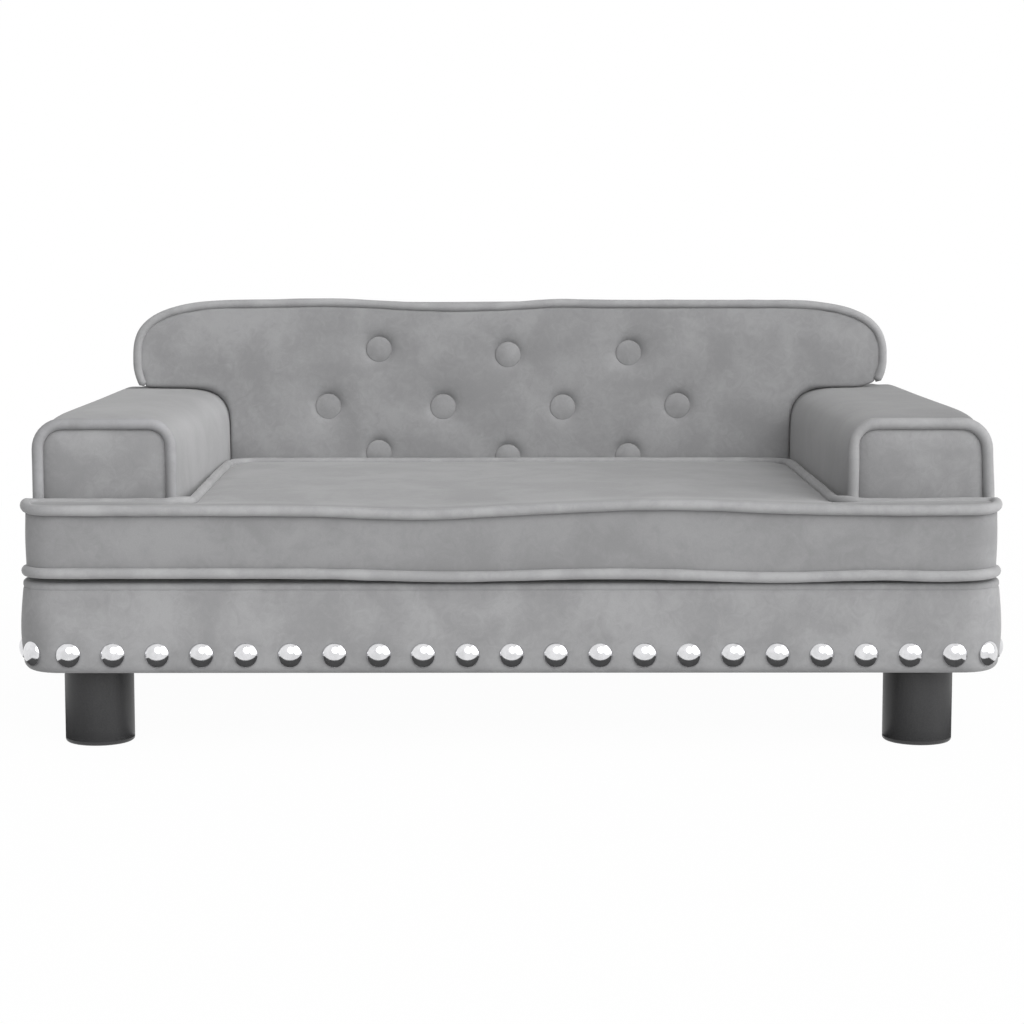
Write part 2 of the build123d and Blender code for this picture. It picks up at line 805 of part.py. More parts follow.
with BuildPart() as cushion_top_panel:
    cushion_body(top_roll, 0)
    cushion_crown(edge_top, 0, 0)
    add(foam_above.part, mode=Mode.SUBTRACT)
cushion_top_panel.part.label = "cushion_top_panel"
export_step(cushion_top_panel.part, "parts/cushion_top_panel.step")

with BuildPart() as cushion_bottom_panel:
    cushion_body(bottom_roll, 0)
    add(foam_below.part, mode=Mode.SUBTRACT)
cushion_bottom_panel.part.label = "cushion_bottom_panel"
export_step(cushion_bottom_panel.part, "parts/cushion_bottom_panel.step")

# The band swells outwards between its pipings, and its rear has a window for the zip tape.
with BuildPart() as cushion_band:
    cushion_body(band_swell, 0)
    add(foam_middle.part, mode=Mode.SUBTRACT)
    with BuildSketch(Plane.XY.offset(zip_z - zip_half_height)):
        with Locations((0, seat_rear)):
            Rectangle(2 * zip_half_length, 16)
    extrude(amount=2 * zip_half_height, mode=Mode.SUBTRACT)
cushion_band.part.label = "cushion_band"
export_step(cushion_band.part, "parts/cushion_band.step")

for seam_z, name in ((upper_seam, "top"), (lower_seam, "bottom")):
    with BuildPart() as cushion_piping:
        with BuildLine(Plane.XY.offset(seam_z)) as seam_path:
            cushion_outline(0)
        seam_wire = seam_path.wires()[0]
        along = seam_wire % 0
        with BuildSketch(Plane(origin=seam_wire @ 0, x_dir=Vector(0, 0, 1).cross(along), z_dir=along)):
            Circle(piping_radius)
            with Locations((flange_reach / 2, 0)):
                Rectangle(flange_reach, 2 * seam)
        sweep(path=seam_wire)
    cushion_piping.part.label = f"cushion_{name}_piping"
    export_step(cushion_piping.part, f"parts/cushion_{name}_piping.step")

# Zip

with BuildPart() as zip_tape:
    with BuildSketch(at_y(zip_face)):
        with Locations((0, zip_z)):
            Rectangle(2 * zip_half_length, 2 * zip_half_height)
    extrude(amount=zip_tape_thickness)
zip_tape.part.label = "zip_tape"
export_step(zip_tape.part, "parts/zip_tape.step")

with BuildPart() as zip_coil:
    with BuildSketch(at_y(zip_face)):
        with Locations((0, zip_z)):
            Rectangle(2 * (zip_half_length - coil_margin), 2 * coil_half_height)
    extrude(amount=-coil_rise)
zip_coil.part.label = "zip_coil"
export_step(zip_coil.part, "parts/zip_coil.step")

stop_x = zip_half_length - (coil_margin + 1) / 2
with BuildPart() as zip_stops:
    with BuildSketch(at_y(zip_face)):
        with Locations((-stop_x, zip_z), (stop_x, zip_z)):
            Rectangle(stop_width, stop_height)
    extrude(amount=-stop_rise)
zip_stops.part.label = "zip_stops"
export_step(zip_stops.part, "parts/zip_stops.step")

# The slider's plate straddles the coil between two guides, and its tab hangs from a bridge.
plate_back = zip_face + coil_rise + slider_gap
plate_front = plate_back + slider_plate
bridge_front = plate_front + bridge_rise
with BuildPart() as zip_slider:
    with BuildSketch(at_y(plate_back)):
        with Locations((slider_x, zip_z)):
            RectangleRounded(slider_length, slider_height, 2)
    extrude(amount=-slider_plate)
    with BuildSketch(at_y(plate_back)):
        with Locations((slider_x, zip_z - guide_z), (slider_x, zip_z + guide_z)):
            Rectangle(slider_length - 4, guide_height)
    extrude(amount=coil_rise - 0.1)
    with BuildSketch(at_y(plate_front)):
        with Locations((slider_x, zip_z + 1)):
            Rectangle(bridge_width, bridge_height)
    extrude(amount=-bridge_rise)
    with BuildSketch(at_y(bridge_front)):
        with Locations((slider_x, zip_z - 6)):
            SlotOverall(tab_length, tab_width, rotation=90)
        with Locations((slider_x, zip_z - 12)):
            Circle(tab_hole, mode=Mode.SUBTRACT)
    extrude(amount=-tab_thickness)
zip_slider.part.label = "zip_slider"
export_step(zip_slider.part, "parts/zip_slider.step")
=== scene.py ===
# %% [markdown]
# # A velvet sofa bed for a dog
# The real object is a small sofa: a padded box on four short legs, two square arms, a buttoned backrest
# and a loose seat cushion with piped edges. The CAD model gives the frame, the sizes and every hidden
# board and bolt. This lesson dresses it. Each soft part gets a new mesh of its own, worked out with
# numpy, and the padded ones are then blown up a little by the cloth simulation.

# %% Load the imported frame
import json
from math import cos, pi, radians, sin

import bmesh
import bpy
import numpy as np
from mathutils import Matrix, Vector


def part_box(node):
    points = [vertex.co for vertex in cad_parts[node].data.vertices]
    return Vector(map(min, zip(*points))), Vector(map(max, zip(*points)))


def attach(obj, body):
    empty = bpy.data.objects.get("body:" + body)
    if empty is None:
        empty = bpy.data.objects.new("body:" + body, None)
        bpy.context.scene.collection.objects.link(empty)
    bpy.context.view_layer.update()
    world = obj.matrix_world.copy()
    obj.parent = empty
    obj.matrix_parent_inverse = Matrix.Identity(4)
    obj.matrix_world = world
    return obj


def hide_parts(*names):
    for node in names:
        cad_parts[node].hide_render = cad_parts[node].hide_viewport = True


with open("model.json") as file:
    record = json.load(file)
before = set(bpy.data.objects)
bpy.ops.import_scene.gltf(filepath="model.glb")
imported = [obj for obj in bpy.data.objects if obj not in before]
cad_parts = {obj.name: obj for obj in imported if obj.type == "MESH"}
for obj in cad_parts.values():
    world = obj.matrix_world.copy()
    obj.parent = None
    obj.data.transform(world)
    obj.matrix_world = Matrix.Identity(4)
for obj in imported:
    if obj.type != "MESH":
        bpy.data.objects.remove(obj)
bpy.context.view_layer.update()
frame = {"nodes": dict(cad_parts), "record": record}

# %% [markdown]
# ## Measures
# The shapes below are written in millimetres, as a maker would, and turned into Blender's metres only
# when a mesh is made. The main levels and seam lines are read from the CAD nodes. A seam runs through
# the middle of its piping's cord, so its box is the cord's box less the cord's radius. What no box
# tells is written here. The sofa's middle is x = 0, so a width is given as the x of its right end.
# The front is at low y. A button's pair is x, z.

# %% The measures of the sofa
MM = 0.001


def box(node):
    """A CAD node's lowest and highest corner in millimetres, to a tenth."""
    return np.round(np.array(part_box(node)) / MM, 1)


def seam_box(cord):
    """The box of the seam in a cord: the cord's box less its radius, which is half its least side."""
    low, high = box(cord)
    radius = (high - low).min() / 2
    return np.round([low + radius, high - radius], 1).tolist()


base_x, base_y, base_top = box("base_cover")[1].tolist()
(_, lip_front, upper_seam), (lip_x, seat_rear, _) = seam_box("cushion_top_piping")
lower_seam = seam_box("cushion_bottom_piping")[0][2]
(arm_inner, arm_front, _), (arm_outer, _, arm_seam) = seam_box("right_arm_piping")
back_front = seam_box("backrest_piping")[0][1]
back_rear = float(box("backrest_rear_panel")[1][1])
base_corner, lip_rear, seat_x = 30, -191, 235.5
back_x, back_low_x, wing_z = 317.8, 243, 233
buttons = np.array([
    (-112, 269.3), (-2, 264.7), (101, 266.2),
    (-155.6, 220.5), (-57.4, 220.2), (44.8, 219.8), (143, 221),
    (-112.6, 180.8), (-2, 177), (101, 178),
], float)
button_seat = 166.8
print("seams at", lower_seam, "and", upper_seam, "mm, with", len(buttons), "buttons")

# %% [markdown]
# ## Paths and grids
# Nearly every piece of a sofa follows an outline with rounded corners: a cushion's seam, an arm's arch,
# a piping. So the first helper turns corners and radii into evenly spaced points, and the second finds
# which way is out.

# %% Outlines with rounded corners
def unit(vector):
    """The vector divided by its length."""
    return vector / np.linalg.norm(vector)


def rounded(corners, radii, step=3.0, closed=True, count=None):
    """Straight runs joined by arcs, as evenly spaced points.

    An arc of radius r leaves both runs r / tan(half the corner's angle) from the corner. Its centre
    lies on the bisector, r / sin(half the angle) away. The points are spaced by length along the path,
    at the step or in the given count.
    """
    corners = np.asarray(corners, float)
    last = len(corners) - 1
    path = []
    for i, (here, radius) in enumerate(zip(corners, radii)):
        if radius <= 0 or (not closed and i in (0, last)):
            path.append(here[None])
            continue
        back = unit(corners[i - 1] - here)
        on = unit(corners[i - last] - here)
        half = np.arccos(back @ on) / 2
        centre = here + unit(back + on) * radius / sin(half)
        start = here + back * radius / np.tan(half) - centre
        end = here + on * radius / np.tan(half) - centre
        turn = pi - 2 * half
        t = np.linspace(0, 1, 17)[:, None]
        path.append(centre + (np.sin((1 - t) * turn) * start + np.sin(t * turn) * end) / sin(turn))
    path = np.vstack(path + ([path[0][:1]] if closed else []))
    run = np.concatenate([[0], np.cumsum(np.linalg.norm(np.diff(path, axis=0), axis=1))])
    count = count or int(round(run[-1] / step))
    spots = np.linspace(0, run[-1], count + 1)[: count if closed else None]
    return np.stack([np.interp(spots, run, path[:, k]) for k in range(2)], axis=1)


def outward(path, closed=True):
    """Unit normals out of an anticlockwise path: each tangent turned a quarter turn clockwise."""
    along = np.roll(path, -1, 0) - np.roll(path, 1, 0) if closed else np.gradient(path, axis=0)
    along /= np.linalg.norm(along, axis=1, keepdims=True)
    return np.stack([along[:, 1], -along[:, 0]], axis=1)


def inset(path, distance, closed=True):
    """The path moved inwards by a distance along its normals."""
    return path - outward(path, closed) * distance


base_plan = [(-base_x, -base_y), (base_x, -base_y), (base_x, base_y), (-base_x, base_y)]
print("the way round the base is", len(rounded(base_plan, [base_corner] * 4, 1.0)), "mm")

# %% [markdown]
# A grid of points becomes a mesh of quads, and a round direction joins back to its start. Points go
# into a mesh and come out of it as whole arrays, which is much faster than one by one.

# %% From a grid of points to a mesh
def placed(name, mesh):
    """A new object at the origin that shows a mesh with smooth shading."""
    mesh.shade_smooth()
    piece = bpy.data.objects.new(name, mesh)
    bpy.context.scene.collection.objects.link(piece)
    return piece


def woven(name, points, round_rows=False, round_columns=False, size=(1.0, 1.0)):
    """A mesh from a grid of points in millimetres, joined back to its start in a round direction.

    Its UV map holds the way along the rows and the columns in metres, out of the given size in
    millimetres.
    """
    rows, columns = points.shape[:2]
    i = np.arange(rows + round_rows)
    j = np.arange(columns + round_columns)
    index = (i % rows)[:, None] * columns + (j % columns)[None]
    along = np.broadcast_to(i[:, None] / (len(i) - 1) * size[0] * MM, index.shape)
    across = np.broadcast_to(j[None] / (len(j) - 1) * size[1] * MM, index.shape)
    shifts = [(slice(None, -1), slice(None, -1)), (slice(1, None), slice(None, -1)),
              (slice(1, None), slice(1, None)), (slice(None, -1), slice(1, None))]
    quads = np.stack([index[s] for s in shifts], axis=-1).reshape(-1, 4)
    uv = np.stack([np.stack([along[s], across[s]], axis=-1) for s in shifts], axis=-2)
    mesh = bpy.data.meshes.new(name)
    mesh.from_pydata((points.reshape(-1, 3) * MM).tolist(), [], quads.tolist())
    mesh.uv_layers.new(name="UVMap").data.foreach_set("uv", uv.reshape(-1).astype(np.float32))
    return placed(name, mesh)


def wall_quads(rows, around):
    """Quads of a tube of point rings: each ring is joined to the next one and round to its own start."""
    index = np.arange(rows * around).reshape(rows, around)
    wrapped = np.hstack([index, index[:, :1]])
    corners = [wrapped[:-1, :-1], wrapped[:-1, 1:], wrapped[1:, 1:], wrapped[1:, :-1]]
    return np.stack(corners, axis=-1).reshape(-1, 4)


def closed_up(piece):
    """Merges a mesh's doubled points at poles and seams, and turns its faces outwards."""
    shape = bmesh.new()
    shape.from_mesh(piece.data)
    bmesh.ops.remove_doubles(shape, verts=shape.verts, dist=1e-6)
    bmesh.ops.recalc_face_normals(shape, faces=shape.faces)
    shape.to_mesh(piece.data)
    shape.free()
    return piece


def vectors(collection, field):
    """A vector of each element of a mesh, as rows of an array."""
    flat = np.empty(len(collection) * 3, np.float32)
    collection.foreach_get(field, flat)
    return flat.reshape(-1, 3)


def coordinates(piece):
    """A mesh's points as an array in millimetres."""
    return vectors(piece.data.vertices, "co").astype(float) / MM


def moved(piece, points):
    """Puts changed points, in millimetres, back into a mesh."""
    piece.data.vertices.foreach_set("co", (points * MM).astype(np.float32).reshape(-1))
    piece.data.update()
    return piece


print("a tube of 3 rings of 14 points has", len(wall_quads(3, 14)), "quads")

# %% [markdown]
# ## Colours and nodes
# A hex colour is how the eye names a grey, but Cycles adds up light, so one function turns hex into
# linear values. One more function adds a shader node, sets its own settings, and links or sets its
# sockets. Every finish is made with these two.

# %% Colour and node helpers
def linear(code):
    """An sRGB hex colour as linear red, green, blue and full alpha."""
    shares = np.array([int(code[k:k + 2], 16) for k in (1, 3, 5)]) / 255
    low = shares / 12.92
    high = ((shares + 0.055) / 1.055) ** 2.4
    return (*np.where(shares <= 0.04045, low, high).tolist(), 1.0)


def add_node(tree, kind, sockets=None, **settings):
    """Adds a node. A socket's value is a number, a colour, or another node's output."""
    node = tree.nodes.new(kind)
    for name, value in settings.items():
        setattr(node, name, value)
    for name, value in (sockets or {}).items():
        if isinstance(value, bpy.types.NodeSocket):
            tree.links.new(value, node.inputs[name])
        else:
            node.inputs[name].default_value = value
    return node


def new_finish(name):
    """An empty material, its node tree and its output node."""
    finish = bpy.data.materials.new(name)
    finish.use_nodes = True
    finish.node_tree.nodes.clear()
    return finish, finish.node_tree, add_node(finish.node_tree, "ShaderNodeOutputMaterial")


print("mid grey in linear light", round(linear("#808080")[0], 3))

# %% [markdown]
# ## Velvet
# Velvet is woven with loops that are cut to a short pile, here of polyester. Light slides along the
# pile, so the cloth brightens towards its edges, which is the shader's sheen. Where a hand has brushed
# the pile the other way, a soft cloud is a little lighter or darker. The clouds are 20 to 60 mm wide,
# with dabs of about 9 mm in them. The pile itself is under 0.2 mm, too fine to show, so it is drawn as
# 0.7 mm grains. On top of that, each panel's velvet has painted light and shade. Faces turned one way
# are painted lighter and faces turned the other way darker, each panel along a direction of its own.
# The piping's velvet is painted a little lighter, which stands in for the light that its round cords
# catch.

# %% The velvet finish
def velvet(name, dark, light, cloud_mm=55, grain_bump=0.12, painted_light_toward=(0.12, 0.0, 0.0)):
    """Cut-pile velvet: cloudy nap, fine grain and a sheen.

    Faces turned one way are painted lighter and those turned the other way darker, which is painted
    light and shade. The colour is the nap's mix of dark and light, times the sum of the grain's speckle,
    0.93 to 1.07, and the normal's share along the given direction.
    """
    finish, tree, output = new_finish(name)
    place = add_node(tree, "ShaderNodeTexCoord").outputs["Object"]
    clouds = add_node(tree, "ShaderNodeTexNoise", {
        "Vector": place, "Scale": 1 / (cloud_mm * MM), "Detail": 3.0, "Roughness": 0.55, "Distortion": 0.6,
    })
    dabs = add_node(tree, "ShaderNodeTexNoise", {
        "Vector": place, "Scale": 1 / (9 * MM), "Detail": 3.0, "Roughness": 0.6, "Distortion": 1.5,
    })
    both = add_node(tree, "ShaderNodeMix", {
        "Factor": 0.28, "A": clouds.outputs["Fac"], "B": dabs.outputs["Fac"],
    })
    nap = add_node(tree, "ShaderNodeMapRange", {
        "Value": both.outputs[0], "From Min": 0.36, "From Max": 0.66,
    }, interpolation_type="SMOOTHSTEP")
    grain = add_node(tree, "ShaderNodeTexNoise", {
        "Vector": place, "Scale": 1 / (0.7 * MM), "Detail": 2.0, "Roughness": 0.6,
    })
    mixed = add_node(tree, "ShaderNodeMix", {"Factor": nap.outputs["Result"]}, data_type="RGBA")
    # The Mix node keeps its colour sockets after its number and vector ones.
    mixed.inputs[6].default_value = linear(dark)
    mixed.inputs[7].default_value = linear(light)
    speckle = add_node(tree, "ShaderNodeMapRange", {
        "Value": grain.outputs["Fac"], "To Min": 0.93, "To Max": 1.07,
    })
    # Painted light and shade: the normal's share along the given direction is added to the tone, so faces
    # turned that way are lighter and the others darker.
    painted_light_share = add_node(tree, "ShaderNodeVectorMath", {
        0: add_node(tree, "ShaderNodeTexCoord").outputs["Normal"], 1: painted_light_toward,
    }, operation="DOT_PRODUCT")
    tone = add_node(tree, "ShaderNodeMath", {
        0: painted_light_share.outputs["Value"], 1: speckle.outputs["Result"],
    }, operation="ADD")
    cloth = add_node(tree, "ShaderNodeVectorMath", {
        0: mixed.outputs[2], 1: tone.outputs["Value"],
    }, operation="MULTIPLY")
    bump = add_node(tree, "ShaderNodeBump", {
        "Height": grain.outputs["Fac"], "Strength": grain_bump, "Distance": 0.4 * MM,
    })
    shader = add_node(tree, "ShaderNodeBsdfPrincipled", {
        "Base Color": cloth.outputs["Vector"], "Roughness": 0.88, "Normal": bump.outputs["Normal"],
        "Specular IOR Level": 0.05, "Sheen Weight": 0.3, "Sheen Roughness": 0.4,
        "Sheen Tint": linear("#F2F2F2"),
    })
    tree.links.new(shader.outputs["BSDF"], output.inputs["Surface"])
    return finish


# Each velvet here has painted light and shade along a direction of its own, and the first one uses the
# default direction. So the cushion, the backrest and each arm are lit and shaded copies of one cloth.
cut_velvet = velvet("cut_velvet", "#89898A", "#989899")
cushion_velvet = velvet("cushion_velvet", "#8B8B8C", "#969697", painted_light_toward=(0.12, 0.1, -0.01))
back_velvet = velvet("back_velvet", "#89898A", "#989899", painted_light_toward=(0.0, -0.03, 0.0))
arm_velvets = {
    -1: velvet("left_arm_velvet", "#8D8D8E", "#959596", painted_light_toward=(0.36, 0.0, -0.06)),
    1: velvet("right_arm_velvet", "#8D8D8E", "#959596", painted_light_toward=(-0.08, -0.03, -0.26)),
}
# Painted highlight: the piping's velvet is a little lighter than the rest, which stands in for the light
# that the round cords catch.
piping_velvet = velvet("piping_velvet", "#959596", "#A1A1A2", cloud_mm=30)
# Painted shade and light: the left facing's piping is painted darker than the other pipings, and its faces
# turned right are painted lighter.
facing_pipings = {
    -1: velvet("left_facing_piping_velvet", "#8D8D8E", "#98989A", painted_light_toward=(0.2, 0.0, 0.0), cloud_mm=30),
    1: piping_velvet,
}
print("velvet finishes", [f.name for f in bpy.data.materials if "velvet" in f.name])

# %% [markdown]
# ## Hard and hidden finishes
# Each of these starts from what the real material is and how its surface was made:
# - The legs are moulded polypropylene: a dark grey with a broad soft gloss. The mould's texture is
#   finer than 0.8 mm, and it is drawn at that size so that it shows.
# - The nail heads are pressed steel with chrome on it: a bright mirror, blurred a little by the
#   pressing, whose tone drifts over 6 mm.
# - The slider, the stops, the bolts and the screws are zinc-plated steel: a grey metal in 1.2 mm spots.
# - The zip's tape and teeth are nylon: an even grey with a dull gloss and a weave 0.6 mm apart.
# - The boards are sawn pine and plywood: warm and dull, with grain about 60 mm long and 5 mm wide.
# - The linings are spun polypropylene: a dull black with bonded dots 0.9 mm apart.
# - The twine behind the buttons is waxed: a pale tan with strands 0.5 mm wide.

# %% Finishes with one grain pattern
def grained(name, dark, light, stretch, roughness, bump_mm=0.0, metallic=0.0, specular=0.5, detail=3.0):
    """A finish whose colour and surface follow one noise, stretched by sizes in millimetres."""
    finish, tree, output = new_finish(name)
    place = add_node(tree, "ShaderNodeTexCoord").outputs["Object"]
    scaled = add_node(tree, "ShaderNodeMapping", {
        "Vector": place, "Scale": [1 / (size * MM) for size in stretch],
    })
    noise = add_node(tree, "ShaderNodeTexNoise", {
        "Vector": scaled.outputs["Vector"], "Scale": 1.0, "Detail": detail,
    })
    ramp = add_node(tree, "ShaderNodeValToRGB", {"Fac": noise.outputs["Fac"]})
    ramp.color_ramp.elements[0].position, ramp.color_ramp.elements[1].position = 0.35, 0.65
    ramp.color_ramp.elements[0].color = linear(dark)
    ramp.color_ramp.elements[1].color = linear(light)
    gloss = add_node(tree, "ShaderNodeMapRange", {
        "Value": noise.outputs["Fac"], "To Min": roughness - 0.04, "To Max": roughness + 0.04,
    })
    bump = add_node(tree, "ShaderNodeBump", {
        "Height": noise.outputs["Fac"], "Strength": 1.0, "Distance": max(bump_mm, 0.001) * MM,
    })
    shader = add_node(tree, "ShaderNodeBsdfPrincipled", {
        "Base Color": ramp.outputs["Color"], "Roughness": gloss.outputs["Result"],
        "Normal": bump.outputs["Normal"], "Metallic": metallic, "Specular IOR Level": specular,
    })
    tree.links.new(shader.outputs["BSDF"], output.inputs["Surface"])
    return finish


leg_plastic = grained("satin_polypropylene", "#2B2B2C", "#333334", (0.8, 0.8, 0.8), 0.42, 0.03)
chrome = grained("chromed_steel", "#D6D6D8", "#E4E4E6", (6, 6, 6), 0.13, 0.0, metallic=1.0)
zinc = grained("zinc_plated_steel", "#8F9296", "#B2B5B9", (1.2, 1.2, 1.2), 0.38, 0.02, metallic=1.0)
pine = grained("pine_and_plywood", "#B98F5E", "#D8B583", (60, 5, 5), 0.62, 0.12, detail=5.0)
lining = grained("spun_polypropylene", "#111113", "#232325", (0.9, 0.9, 0.9), 0.85, 0.15)
cord_twine = grained("waxed_twine", "#A69C84", "#CFC6AE", (0.5, 0.5, 1.5), 0.7, 0.1)
zip_nylon = grained("zip_nylon", "#6E6E6F", "#7C7C7D", (0.6, 0.6, 0.6), 0.5, 0.05)
print("hard finishes", [f.name for f in (leg_plastic, chrome, zinc, pine, lining, cord_twine, zip_nylon)])

# %% [markdown]
# ## CAD nodes that stay
# The boards, rails, bolts and linings have the right shape already. They keep their CAD meshes and only
# get a finish.

# %% Finishes for the kept nodes
kept_finishes = {
    "board": pine, "steel": zinc, "lining": lining, "twine": cord_twine, "zip": zip_nylon,
}
for row in frame["record"]["subparts"]:
    finish = kept_finishes.get(row["material_slot"])
    if finish:
        mesh = frame["nodes"][row["node"]].data
        mesh.materials.clear()
        mesh.materials.append(finish)

# %% [markdown]
# A new piece gets a finish, rides on a body, and hides the CAD nodes that it stands for. One function
# does this for every piece.

# %% Dressing a piece
def dress(piece, body, finish, replaced):
    """Gives a finished piece its material, its body and the CAD nodes it stands for."""
    piece.data.materials.clear()
    piece.data.materials.append(finish)
    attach(piece, body)
    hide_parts(*replaced)
    print(piece.name, "on", body, "with", len(piece.data.polygons), "faces")
    return piece


# %% [markdown]
# ## How padding is made
# Foam inside sewn cloth pushes the cloth out everywhere but at the seams. The cloth simulation does the
# same: a closed mesh gets even squares by a voxel remesh, the points at seams and buttons are held,
# and air pressure blows up the rest. A cap on how far a point may go keeps the pad firm. The mesh
# starts a little too small, because it swells.

# %% Body and remesh
def body_of_rings(name, rings):
    """A closed body: equal rings joined into a wall, with the first and last ring as its ends."""
    count, around = rings.shape[:2]
    first = list(range(around))
    ends = [first[::-1], [k + (count - 1) * around for k in first]]
    mesh = bpy.data.meshes.new(name)
    mesh.from_pydata((rings.reshape(-1, 3) * MM).tolist(), [], wall_quads(count, around).tolist() + ends)
    return closed_up(placed(name, mesh))


def even_squares(piece, size):
    """Remeshes a closed mesh into even squares of a size in millimetres."""
    voxels = piece.modifiers.new("Voxels", "REMESH")
    voxels.mode = "VOXEL"
    voxels.voxel_size = size * MM
    return settled(piece)


def settled(piece):
    """Replaces a piece's mesh by what its modifiers make of it."""
    graph = bpy.context.evaluated_depsgraph_get()
    mesh = bpy.data.meshes.new_from_object(piece.evaluated_get(graph))
    piece.modifiers.clear()
    piece.data = mesh
    mesh.shade_smooth()
    return piece


def smoother(piece):
    """Adds one live level of subdivision."""
    finer = piece.modifiers.new("Finer", "SUBSURF")
    finer.levels = finer.render_levels = 1
    return piece


# %% Pressure
def calmed(piece, values, times, free):
    """Evens out values on points: each goes half way to its neighbours' mean, some times over."""
    ends = np.empty(len(piece.data.edges) * 2, np.int32)
    piece.data.edges.foreach_get("vertices", ends)
    ends = ends.reshape(-1, 2)
    here, there = np.vstack([ends, ends[:, ::-1]]).T
    count = np.bincount(here, minlength=len(values))
    for _ in range(times):
        mean = np.stack([np.bincount(here, row[there], len(values)) / count for row in values.T], axis=1)
        values = np.where(free[:, None], (values + mean) / 2, values)
    return values


def plumped(piece, held, cap, pressure=4.0, calm=12):
    """Blows a mesh up with air pressure over 20 frames, with some points held.

    Each point's move is shortened from d to cap times tanh(d / cap), so no point goes past the cap.
    Then neighbours' moves are evened out, which leaves the start shape as crisp as it was.
    """
    before = coordinates(piece)
    piece.vertex_groups.new(name="sewn").add(np.flatnonzero(held).tolist(), 1.0, "REPLACE")
    cloth = piece.modifiers.new("Cloth", "CLOTH").settings
    cloth.use_pressure = True
    cloth.uniform_pressure_force = pressure
    cloth.effector_weights.gravity = 0
    cloth.vertex_group_mass = "sewn"
    for step in range(1, 21):
        bpy.context.scene.frame_set(step)
    settled(piece)
    bpy.context.scene.frame_set(1)
    move = coordinates(piece) - before
    far = np.linalg.norm(move, axis=1, keepdims=True) + 1e-9
    cap = np.broadcast_to(np.asarray(cap, float), len(before))[:, None]
    print(piece.name, "swelled by up to", round(float(far.max()), 1), "mm, capped")
    move = calmed(piece, move / far * cap * np.tanh(far / cap), calm, ~held)
    return moved(piece, before + move)


print("pads are blown up with the cloth simulation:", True)

# %% [markdown]
# ## The waves of the seat cushion
# On the real cushion the piped edge isn't straight: it dips left of the middle and rises right of it,
# because the cloth was sewn slightly tight there. One function gives that wave, and the cushion and
# both its pipings use it, so they stay together.

# %% The wave function
def hump(x, middle, reach):
    """A smooth hump of height 1: e to the power of minus the squared distance over reach."""
    return np.exp(-(((x - middle) / reach) ** 2))


def cushion_wave(points):
    """Moves points up or down by humps along x that fade away from the front edge.

    The upper and the lower seam have humps of their own, blended by height. The top also falls by
    2 mm over its last 55 mm, towards the backrest, and the lip's top rises by 1.8 mm at the arms.
    """
    x, y, z = points[..., 0], points[..., 1], points[..., 2]
    upper = -1.4 - 2.7 * hump(x, -66, 56) + 4.2 * hump(x, 108, 84) + 0.6 * hump(x, 345, 40)
    lower = 0.8 - 2.35 * hump(x, -40, 68) - 2.9 * hump(x, 187, 68) - 2.1 * hump(x, 306, 36)
    height = np.clip((z - lower_seam) / (upper_seam - lower_seam), 0, 1)
    fade = np.exp(-np.clip(y - lip_front, 0, None) / 110)
    rear = np.clip((y - 95) / 55, 0, 1)
    lip = 1.8 * hump(y, lip_rear, 16) * np.clip((np.abs(x) - 226) / 14, 0, 1)
    rise = (lower * (1 - height) + upper * height) * fade + (lip - 2.0 * rear**2 * (3 - 2 * rear)) * height
    rise = np.where(z < lower_seam, rise * np.clip((z - base_top) / 4, 0, 1), rise)
    moved_points = points.copy()
    moved_points[..., 2] = z + rise
    return moved_points


ruler = np.column_stack([np.linspace(-340, 340, 200), np.full(200, lip_front), np.full(200, upper_seam)])
print("the front piping's height runs over", np.round(np.ptp(cushion_wave(ruler)[:, 2]), 1), "mm")

# %% [markdown]
# ## The seat cushion
# The cushion is a T: a seat between the arms and a lip that runs out in front of them. It could be
# carved from a block, but a sewn cushion is two panels and a band. So its start shape is a stack of
# outlines, each moved in from the seam. The points nearest to the two seams are put on the seams'
# heights and held, and the top may swell by more the further it is from a seam.

# %% Cushion outline and start shape
neck_y = lip_rear - 2
right_half = [
    (lip_x, lip_front), (lip_x, lip_rear), (234, neck_y), (234.6, -60), (seat_x, seat_rear),
]
left_half = [
    (-seat_x, seat_rear), (-235.3, 40), (-230, neck_y), (-lip_x, lip_rear), (-lip_x, lip_front),
]
right_radii = [22, 7.5, 20, 800, 20]
cushion_path = rounded(right_half + left_half, right_radii + right_radii[::-1])
seam_inset = 1.6
levels = [
    (124.6, 9.5), (126.0, 5.5), (lower_seam, seam_inset), (131.5, seam_inset), (140, 0), (163, 0),
    (171.5, seam_inset), (upper_seam, seam_inset), (175.6, 5.0), (176.2, 10.0),
]
cushion_rings = np.stack([
    np.column_stack([inset(cushion_path, edge), np.full(len(cushion_path), z)]) for z, edge in levels
])
seat_cushion = even_squares(body_of_rings("seat_cushion", cushion_rings), 6)
points = coordinates(seat_cushion)
print("cushion outline of", len(cushion_path), "points, start shape of", len(points))


# %% Seams held, then pressure
def seam_distance(points, path):
    """How far points are from a flat path, in plan."""
    return np.concatenate([
        np.sqrt(((part[:, None, :2] - path[None, ::2]) ** 2).sum(-1).min(1))
        for part in np.array_split(points, 8)
    ])


near_wall = seam_distance(points, inset(cushion_path, seam_inset)) < 5.5
for level in (lower_seam, upper_seam):
    ring = near_wall & (np.abs(points[:, 2] - level) < 3.1)
    points[ring, 2] = level
sewn = near_wall & (np.isin(points[:, 2], (lower_seam, upper_seam)))
under = points[:, 2] < 127
moved(seat_cushion, points)
crown = 1.0 + 3.0 * (1 - np.exp(-seam_distance(points, cushion_path) / 50))
top_cap = np.where(points[:, 2] > upper_seam + 1, crown, 1.5)
plumped(seat_cushion, sewn | under, top_cap, calm=25)
points = coordinates(seat_cushion)
print("cushion points", len(points), "held", int(sewn.sum()), "top", points[:, 2].max())

